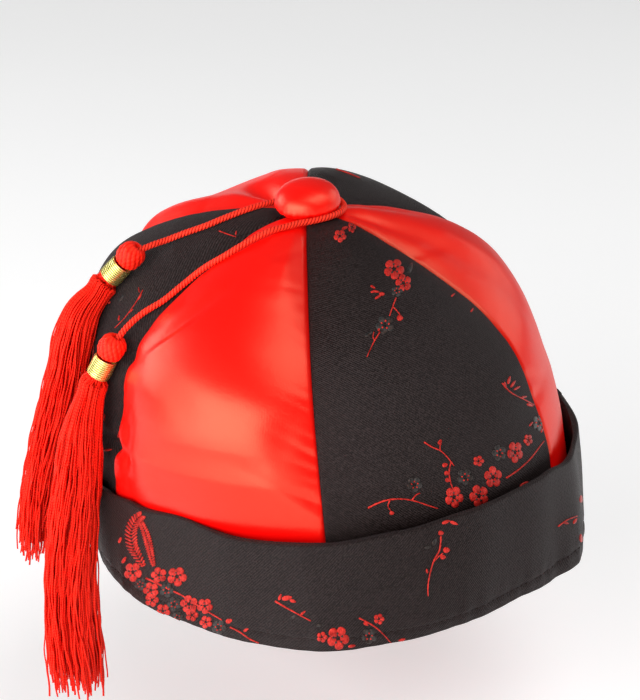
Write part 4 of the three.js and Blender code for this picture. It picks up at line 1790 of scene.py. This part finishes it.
CUFF_FRONT_FIGURES = (
    Twig(1.9, 1.1, R, ((275, 601), (287, 608), (298, 614), (311, 621))), Bud(287, 598, 11, 5, 10, R),
    Bud(280, 597, 7, 3.2, 70, R), Bud(293, 601, 7, 3.6, -20, R), Bud(293, 617, 8, 3, 30, K),
    Bud(320, 625, 8, 3.4, 10, K), Bud(303, 613, 7, 2.6, 40, R), Blossom(338, 638, 24, 10, R, 0.95),
    Blossom(322, 637, 11, 0, R), Blossom(369, 636, 16, 20, K),
    Twig(1.8, 1.1, R, ((359, 618), (367, 622), (376, 627.5), (384, 635), (391, 643))),
    Blossom(379, 619, 11, 0, R), Bud(402, 640, 8, 3, 20, R), Bud(366, 624, 6, 3, -30, R),
    Bud(352, 646, 8, 3, 10, R), Bud(446, 522, 9, 3.4, 20, R), Bud(454, 523, 9, 3.4, -20, R),
    Bud(441, 533, 6, 5, 0, R), Bud(434.5, 542, 9, 4, 60, K), Bud(428, 547, 8, 3.4, 20, K),
    Bud(446.5, 550, 7, 6, 0, R), Bud(443, 557, 6, 5, 0, R),
    Twig(1.7, 1.0, R, ((441, 536), (439.5, 550), (434, 560), (430, 573.5), (428, 585), (428, 596))),
    Twig(1.2, 0.8, R, ((433, 562), (439, 556), (443, 553))), Bud(427, 571, 5, 2.4, 100, R),
    Twig(1.4, 1.0, R, ((558, 526.5), (567, 520), (577, 516))), Bud(575, 521, 7, 3, 60, R),
    Bud(581, 499, 8, 3.2, 90, R), Bud(581, 538, 9, 3.2, 95, R), Bud(570, 422, 7, 2.2, 20, R),
    Bud(566, 523, 6, 2.6, -10, R),
)
LEFT_PANEL_FIGURES = (
    Twig(0.8, 0.6, R, ((143, 290), (137, 301), (130, 311), (124, 319), (115, 328))),
    Bud(140, 297, 7, 1.4, 60, R), Bud(139, 290, 6, 1.2, 100, R), Bud(121, 298, 9, 4, 50, K),
    Bud(131, 311, 6, 1.6, 40, R), Bud(119, 318, 6, 1.8, 80, R),
    Twig(1.2, 0.8, R, ((219, 231), (227, 234), (236, 237))), Bud(236, 233, 5, 1.6, 80, R),
    Bud(108, 450, 9, 2.4, 10, R), Bud(119, 434, 8, 2.4, 80, R),
)
BACK_PANEL_FIGURES = (Twig(1.3, 0.9, R, ((336, 169), (348, 173), (360, 178))),)

# A spray that is repeated where the photograph doesn't reach, in millimetres from its own middle.
SPRAY = (
    Twig(0.8, 0.45, R, ((-15, -7), (-9, -3), (-2, -1), (5, 2), (11, 7))),
    Twig(0.6, 0.4, R, ((-6, -2), (-7, 3), (-5, 7))), Twig(0.6, 0.4, R, ((3, 1), (7, -2), (12, -3))),
    Blossom(-9, 2, 8.4, 10, R), Blossom(0, 5, 8.8, 40, R), Blossom(2, -5, 7.8, 20, R),
    Blossom(-4, -7, 7, 5, K), Blossom(9, 2.5, 6.6, 30, K), Bud(13, 9, 3, 2, 40, R),
    Bud(-5, 9, 2.8, 1.8, 80, R), Bud(14, -3.5, 2.6, 1.7, 0, R), Bud(-17, -8, 3, 1.6, 20, R),
)

# Where the spray is repeated: the cloth, plan angle, height and turn in degrees.
SPRAY_PLACES = (
    ("left_brocade_panel", 268, 92, 25), ("left_brocade_panel", 262, 60, 200),
    ("left_brocade_panel", 281, 66, 120), ("back_right_brocade_panel", 150, 108, 200),
    ("back_right_brocade_panel", 137, 78, 30), ("back_right_brocade_panel", 164, 72, 150),
    ("back_right_brocade_panel", 150, 54, -20), ("cuff_band", 106, 22, 190), ("cuff_band", 131, 19, 10),
    ("cuff_band", 156, 23, 170), ("cuff_band", 181, 20, 20), ("cuff_band", 206, 22, 200),
    ("cuff_band", 231, 19, -10), ("cuff_band", 257, 21, 180),
)


@dataclass
class Loom:
    """Lays woven figures on the cloths as thin raised floats of thread.

    reach is how much further than a figure's middle its parts may lie, and sunk is how deep its edge goes.
    """

    studio: Studio
    cloths: dict[str, Cloth]
    relief: float = 0.34
    sunk: float = 0.22
    reach: float = 45.0
    ray_length: float = 180.0
    drop: float = 30.0
    drop_length: float = 55.0
    corners: int = 12
    barbs: int = 20
    barb_widths: tuple = (1.5, 2.1, 1.7)
    close_by: tuple = ((0, 0), (0.6, 0.2), (-0.2, 0.6), (-0.6, -0.2), (0.2, -0.6))
    piles: dict[tuple[str, Weft], MeshPile] = field(default_factory=dict)

    def depth(self, cloth: Cloth, x: float, y: float) -> float:
        """Gives how far away a cloth is along a line of sight, by the nearest of five close ones.

        Args:
            cloth: the cloth.
            x: pixels from the photograph's left edge.
            y: pixels from its top edge.

        Returns:
            The distance in millimetres.
        """
        found = []
        for right, down in self.close_by:
            hit = cloth.tree.ray_cast(*self.studio.ray(x + right, y + down))
            if hit[0] is not None:
                found.append(hit[3])
        return min(found) if found else self.studio.distance - 50

    def sight(self, cloth: Cloth) -> Finder:
        """Makes a way to find places of the photograph on a cloth.

        Args:
            cloth: the cloth.

        Returns:
            A function from places in pixels to points and normals.
        """

        def find(places: np.ndarray) -> tuple[Points, Points]:
            """Follows the lines of sight, or takes the nearest cloth where one misses.

            Args:
                places: the places in pixels.

            Returns:
                Points and normals.
            """
            found = []
            depth = self.depth(cloth, *places.mean(axis=0))
            for x, y in places:
                start, way = self.studio.ray(x, y)
                hit = cloth.tree.ray_cast(start, way)
                if hit[0] is None or abs(hit[3] - depth) > self.reach:
                    hit = cloth.tree.find_nearest(start + way * depth)
                normal = hit[1] if hit[1].dot(way) < 0 else -hit[1]
                found.append((tuple(hit[0]), tuple(normal)))
            both = np.array(found)
            return both[:, 0], both[:, 1]

        return find

    def flat_on(self, cloth: Cloth, angle: float, height: float, turn: float) -> Finder:
        """Makes a way to find places about a middle on a cloth.

        Args:
            cloth: the cloth.
            angle: the middle's plan angle in degrees.
            height: its height.
            turn: how far the figure is turned, in degrees.

        Returns:
            A function from places in millimetres to points and normals.
        """
        out = Vector((math.sin(angle * RAD), -math.cos(angle * RAD), 0))
        start = out * 200 + Vector((0, 0, height + 25))
        hit = cloth.tree.ray_cast(start, -out * 0.96 + Vector((0, 0, -0.15)), self.ray_length)
        if hit[0] is None:
            hit = cloth.tree.find_nearest(out * 100 + Vector((0, 0, height)))
        middle = hit[0]
        normal = cloth.tree.find_nearest(middle)[1]
        normal = normal if normal.dot(out) > 0 else -normal
        side = normal.cross(Vector((0, 0, 1))).normalized() * -1
        rise = normal.cross(side)
        c, s = math.cos(turn * RAD), math.sin(turn * RAD)

        def find(places: np.ndarray) -> tuple[Points, Points]:
            """Drops each place square onto the cloth.

            Args:
                places: the places in millimetres.

            Returns:
                Points and normals.
            """
            found = []
            for x, y in places:
                start = middle + normal * self.drop + side * (x * c - y * s) + rise * (x * s + y * c)
                got = cloth.tree.ray_cast(start, -normal, self.drop_length)
                if got[0] is None:
                    got = cloth.tree.find_nearest(start - normal * self.drop)
                facing = got[1] if got[1].dot(normal) > 0 else -got[1]
                found.append((tuple(got[0]), tuple(facing)))
            both = np.array(found)
            return both[:, 0], both[:, 1]

        return find

    def pile(self, cloth: Cloth, weft: Weft) -> MeshPile:
        """Gives the pile for one cloth and one thread."""
        return self.piles.setdefault((cloth.name, weft), MeshPile())

    def dome(self, pile: MeshPile, find: Finder, outline: np.ndarray, relief: float) -> None:
        """Raises a small closed dome over an outline.

        Args:
            pile: where the mesh goes.
            find: gives points and normals for flat places.
            outline: the dome's edge.
            relief: its height in millimetres.
        """
        centre = outline.mean(axis=0)
        rings = ((1.0, -self.sunk), (0.93, 0.45 * relief), (0.62, 0.95 * relief))
        flat = np.vstack([centre + (outline - centre) * share for share, _ in rings] + [centre, centre])
        place, normal = find(flat)
        n = len(outline)
        lift = np.concatenate([np.full(n, h) for _, h in rings] + [[relief], [-self.sunk]])
        faces = grid_faces(3, n, False, True).tolist()
        faces += [[2 * n + j, 2 * n + (j + 1) % n, 3 * n] for j in range(n)]
        faces += [[(j + 1) % n, j, 3 * n + 1] for j in range(n)]
        pile.add(place + normal * lift[:, None], faces)

    def ribbon(
        self, pile: MeshPile, find: Finder, line: np.ndarray, widths: np.ndarray, relief: float
    ) -> None:
        """Raises a closed ribbon of thread along a line.

        Args:
            pile: where the mesh goes.
            find: gives points and normals for flat places.
            line: the middle line.
            widths: its width at each point.
            relief: its height in millimetres.
        """
        way = unit(np.gradient(line, axis=0))
        side = np.stack([-way[:, 1], way[:, 0]], axis=1) * widths[:, None]
        shoulder = relief * 0.8
        edges = ((-0.5, -self.sunk), (-0.38, shoulder), (0, relief), (0.38, shoulder), (0.5, -self.sunk))
        place, normal = find(np.stack([line + side * share for share, _ in edges], axis=1).reshape(-1, 2))
        lift = np.tile([h for _, h in edges], len(line))
        pile.add(place + normal * lift[:, None], tube_faces(len(line), len(edges)))

    def petal(self, figure: Blossom, turn: float) -> np.ndarray:
        """Works out a petal, round outside and narrow at the blossom's middle.

        Args:
            figure: the blossom.
            turn: the petal's way out, in radians.

        Returns:
            Its outline.
        """
        a = np.linspace(0, 2 * math.pi, self.corners, endpoint=False)
        x = 0.292 * figure.size + 0.215 * figure.size * np.cos(a)
        y = 0.205 * figure.size * np.sin(a) * (1 + 0.2 * np.cos(a))
        c, s = math.cos(turn), math.sin(turn)
        return np.stack([figure.x + (x * c - y * s) * figure.squeeze, figure.y + x * s + y * c], axis=1)

    def draw_blossom(self, cloth: Cloth, find: Finder, figure: Blossom) -> None:
        """Weaves a blossom: five petals, and a few fine stamens over a dark middle.

        Args:
            cloth: the cloth.
            find: gives points and normals for flat places.
            figure: the blossom.
        """
        base = figure.turn * RAD
        petals = self.pile(cloth, figure.weft)
        for k in range(5):
            self.dome(petals, find, self.petal(figure, base + 2 * math.pi * k / 5), self.relief)
        stamens = self.pile(cloth, R if figure.weft is K else K)
        circle = np.linspace(0, 2 * math.pi, 7, endpoint=False)
        spot = np.stack([np.cos(circle) * figure.squeeze, np.sin(circle)], axis=1) * 0.058 * figure.size
        for k in range(5):
            a = base + 2 * math.pi * (k + 0.5) / 5
            ray = np.array((math.cos(a) * figure.squeeze, math.sin(a))) * 0.2 * figure.size
            self.dome(stamens, find, spot + (figure.x, figure.y) + ray, self.relief + 0.16)

    def draw_bud(self, cloth: Cloth, find: Finder, figure: Bud) -> None:
        """Weaves a bud or a single petal.

        Args:
            cloth: the cloth.
            find: gives points and normals for flat places.
            figure: the bud.
        """
        a = np.linspace(0, 2 * math.pi, self.corners, endpoint=False)
        x = figure.length / 2 * np.cos(a)
        y = figure.width / 2 * np.sin(a) * (1 - 0.25 * np.cos(a))
        c, s = math.cos(-figure.turn * RAD), math.sin(-figure.turn * RAD)
        outline = np.stack([figure.x + x * c - y * s, figure.y + x * s + y * c], axis=1)
        self.dome(self.pile(cloth, figure.weft), find, outline, self.relief * 0.8)

    def draw_twig(self, cloth: Cloth, find: Finder, figure: Twig) -> None:
        """Weaves a twig with slightly stepped edges.

        Args:
            cloth: the cloth.
            find: gives points and normals for flat places.
            figure: the twig.
        """
        count = 4 * (len(figure.points) - 1) + 1
        line = rounded(np.array(figure.points, dtype=float), np.linspace(0, 1, count))
        step = 1 + 0.22 * np.sin(np.arange(count) * 2.4)
        widths = np.linspace(figure.width, figure.tip, count) * step
        self.ribbon(self.pile(cloth, figure.weft), find, line, widths, self.relief * 0.8)

    def draw_feather(self, cloth: Cloth, find: Finder, figure: Feather) -> None:
        """Weaves a leaf of slanting barbs on both sides of a line.

        Args:
            cloth: the cloth.
            find: gives points and normals for flat places.
            figure: the leaf.
        """
        line = rounded(np.array(figure.points, dtype=float), np.linspace(0, 1, self.barbs))
        way = unit(np.gradient(line, axis=0))
        share = np.sin(math.pi * np.linspace(0.12, 0.96, self.barbs)) ** 0.45
        pile = self.pile(cloth, figure.weft)
        for k in range(self.barbs):
            for side in (-1, 1):
                square = np.array((-way[k, 1], way[k, 0])) * side
                reach = figure.width / 2 * share[k]
                tip = line[k] + square * reach - way[k] * reach * 0.75
                barb = np.stack([line[k] + square * 0.4, (line[k] + tip) / 2, tip])
                self.ribbon(pile, find, barb, np.array(self.barb_widths), self.relief * 0.9)

    def draw(self, cloth: Cloth, find: Finder, figures: Iterable[object]) -> None:
        """Weaves each figure by its kind.

        Args:
            cloth: the cloth.
            find: gives points and normals for flat places.
            figures: the figures.
        """
        ways = {
            Blossom: self.draw_blossom,
            Bud: self.draw_bud,
            Twig: self.draw_twig,
            Feather: self.draw_feather,
        }
        for figure in figures:
            ways[type(figure)](cloth, find, figure)

    def build(self, finishes: dict[Weft, Finish]) -> None:
        """Weaves all the figures and dresses one piece for each cloth and thread.

        Args:
            finishes: the threads.
        """
        for name, figures in (
            ("front_right_brocade_panel", FRONT_PANEL_FIGURES + FRONT_SPRAY_FIGURES),
            ("cuff_band", CUFF_LEFT_FIGURES + CUFF_FRONT_FIGURES),
            ("left_brocade_panel", LEFT_PANEL_FIGURES),
            ("back_right_brocade_panel", BACK_PANEL_FIGURES),
        ):
            cloth = self.cloths[name]
            self.draw(cloth, self.sight(cloth), figures)
        for name, angle, height, turn in SPRAY_PLACES:
            cloth = self.cloths[name]
            self.draw(cloth, self.flat_on(cloth, angle, height, turn), SPRAY)
        for (name, weft), pile in self.piles.items():
            piece = pile.piece(f"{name}_{weft.value}_figures")
            dress(piece, finishes[weft], Slot.BROCADE)


def main() -> None:
    """Builds the studio, then the hat from its cords inwards."""
    studio = Studio()
    studio.build()
    satin = Satin().make()
    brocade = Brocade().make()
    # The floss and the cord thread carry painted highlight and shade on their plies, set by strand: lighter
    # on each crown, darker in each groove.
    thread = Floss("red floss", (0.82, 0.004, 0.002), (1.0, 0.026, 0.010), relief=0.2, strand=0.4).make()
    cord_thread = Floss(
        "red cord",
        (0.45, 0.003, 0.002),
        (0.98, 0.045, 0.02),
        along=(900, 900, 900),
        relief=0.2,
        strand=0.6,
    ).make()
    black_thread = Floss("black thread", (0.003, 0.003, 0.003), (0.014, 0.013, 0.015), gloss=0.5).make()
    red_weft = Floss(
        "red weft",
        (0.20, 0.003, 0.003),
        (0.66, 0.034, 0.026),
        gloss=0.38,
        along=(1900, 1900, 900),
        relief=0.3,
    ).make()
    black_weft = Floss(
        "black weft",
        (0.004, 0.0035, 0.0035),
        (0.040, 0.042, 0.042),
        gloss=0.34,
        along=(1400, 1400, 500),
        relief=0.2,
    ).make()
    gold = WoundGold().make()

    lower = Tassel("lower", 2, (-82.1, -35.9, 93.5), (-0.48, 0.05, -0.875), LOWER_FRINGE, 270, 52)
    upper = Tassel("upper", 1, (-75.0, -10.2, 119.8), (-0.68, 0.12, -0.72), UPPER_FRINGE, 200, 51)
    front_cord = TwistedCord("front_cord", "cord_front", FRONT_CORD)
    back_cord = TwistedCord("back_cord", "cord_back", BACK_CORD)
    for cord, tassel in ((front_cord, lower), (back_cord, upper)):
        piece, line = cord.build(cord_thread)
        cord.declare(piece, line, tassel.build(thread, gold))

    crown = Crown()
    cloths = crown.build({Slot.SATIN: satin, Slot.BROCADE: brocade})
    cloths.append(Cuff(crown).build(Brocade("black brocade, crosswise", 0.25).make(), black_thread))
    Button(crown).build(satin)
    Loom(studio, {cloth.name: cloth for cloth in cloths}).build({R: red_weft, K: black_weft})


if __name__ == "__main__":
    main()
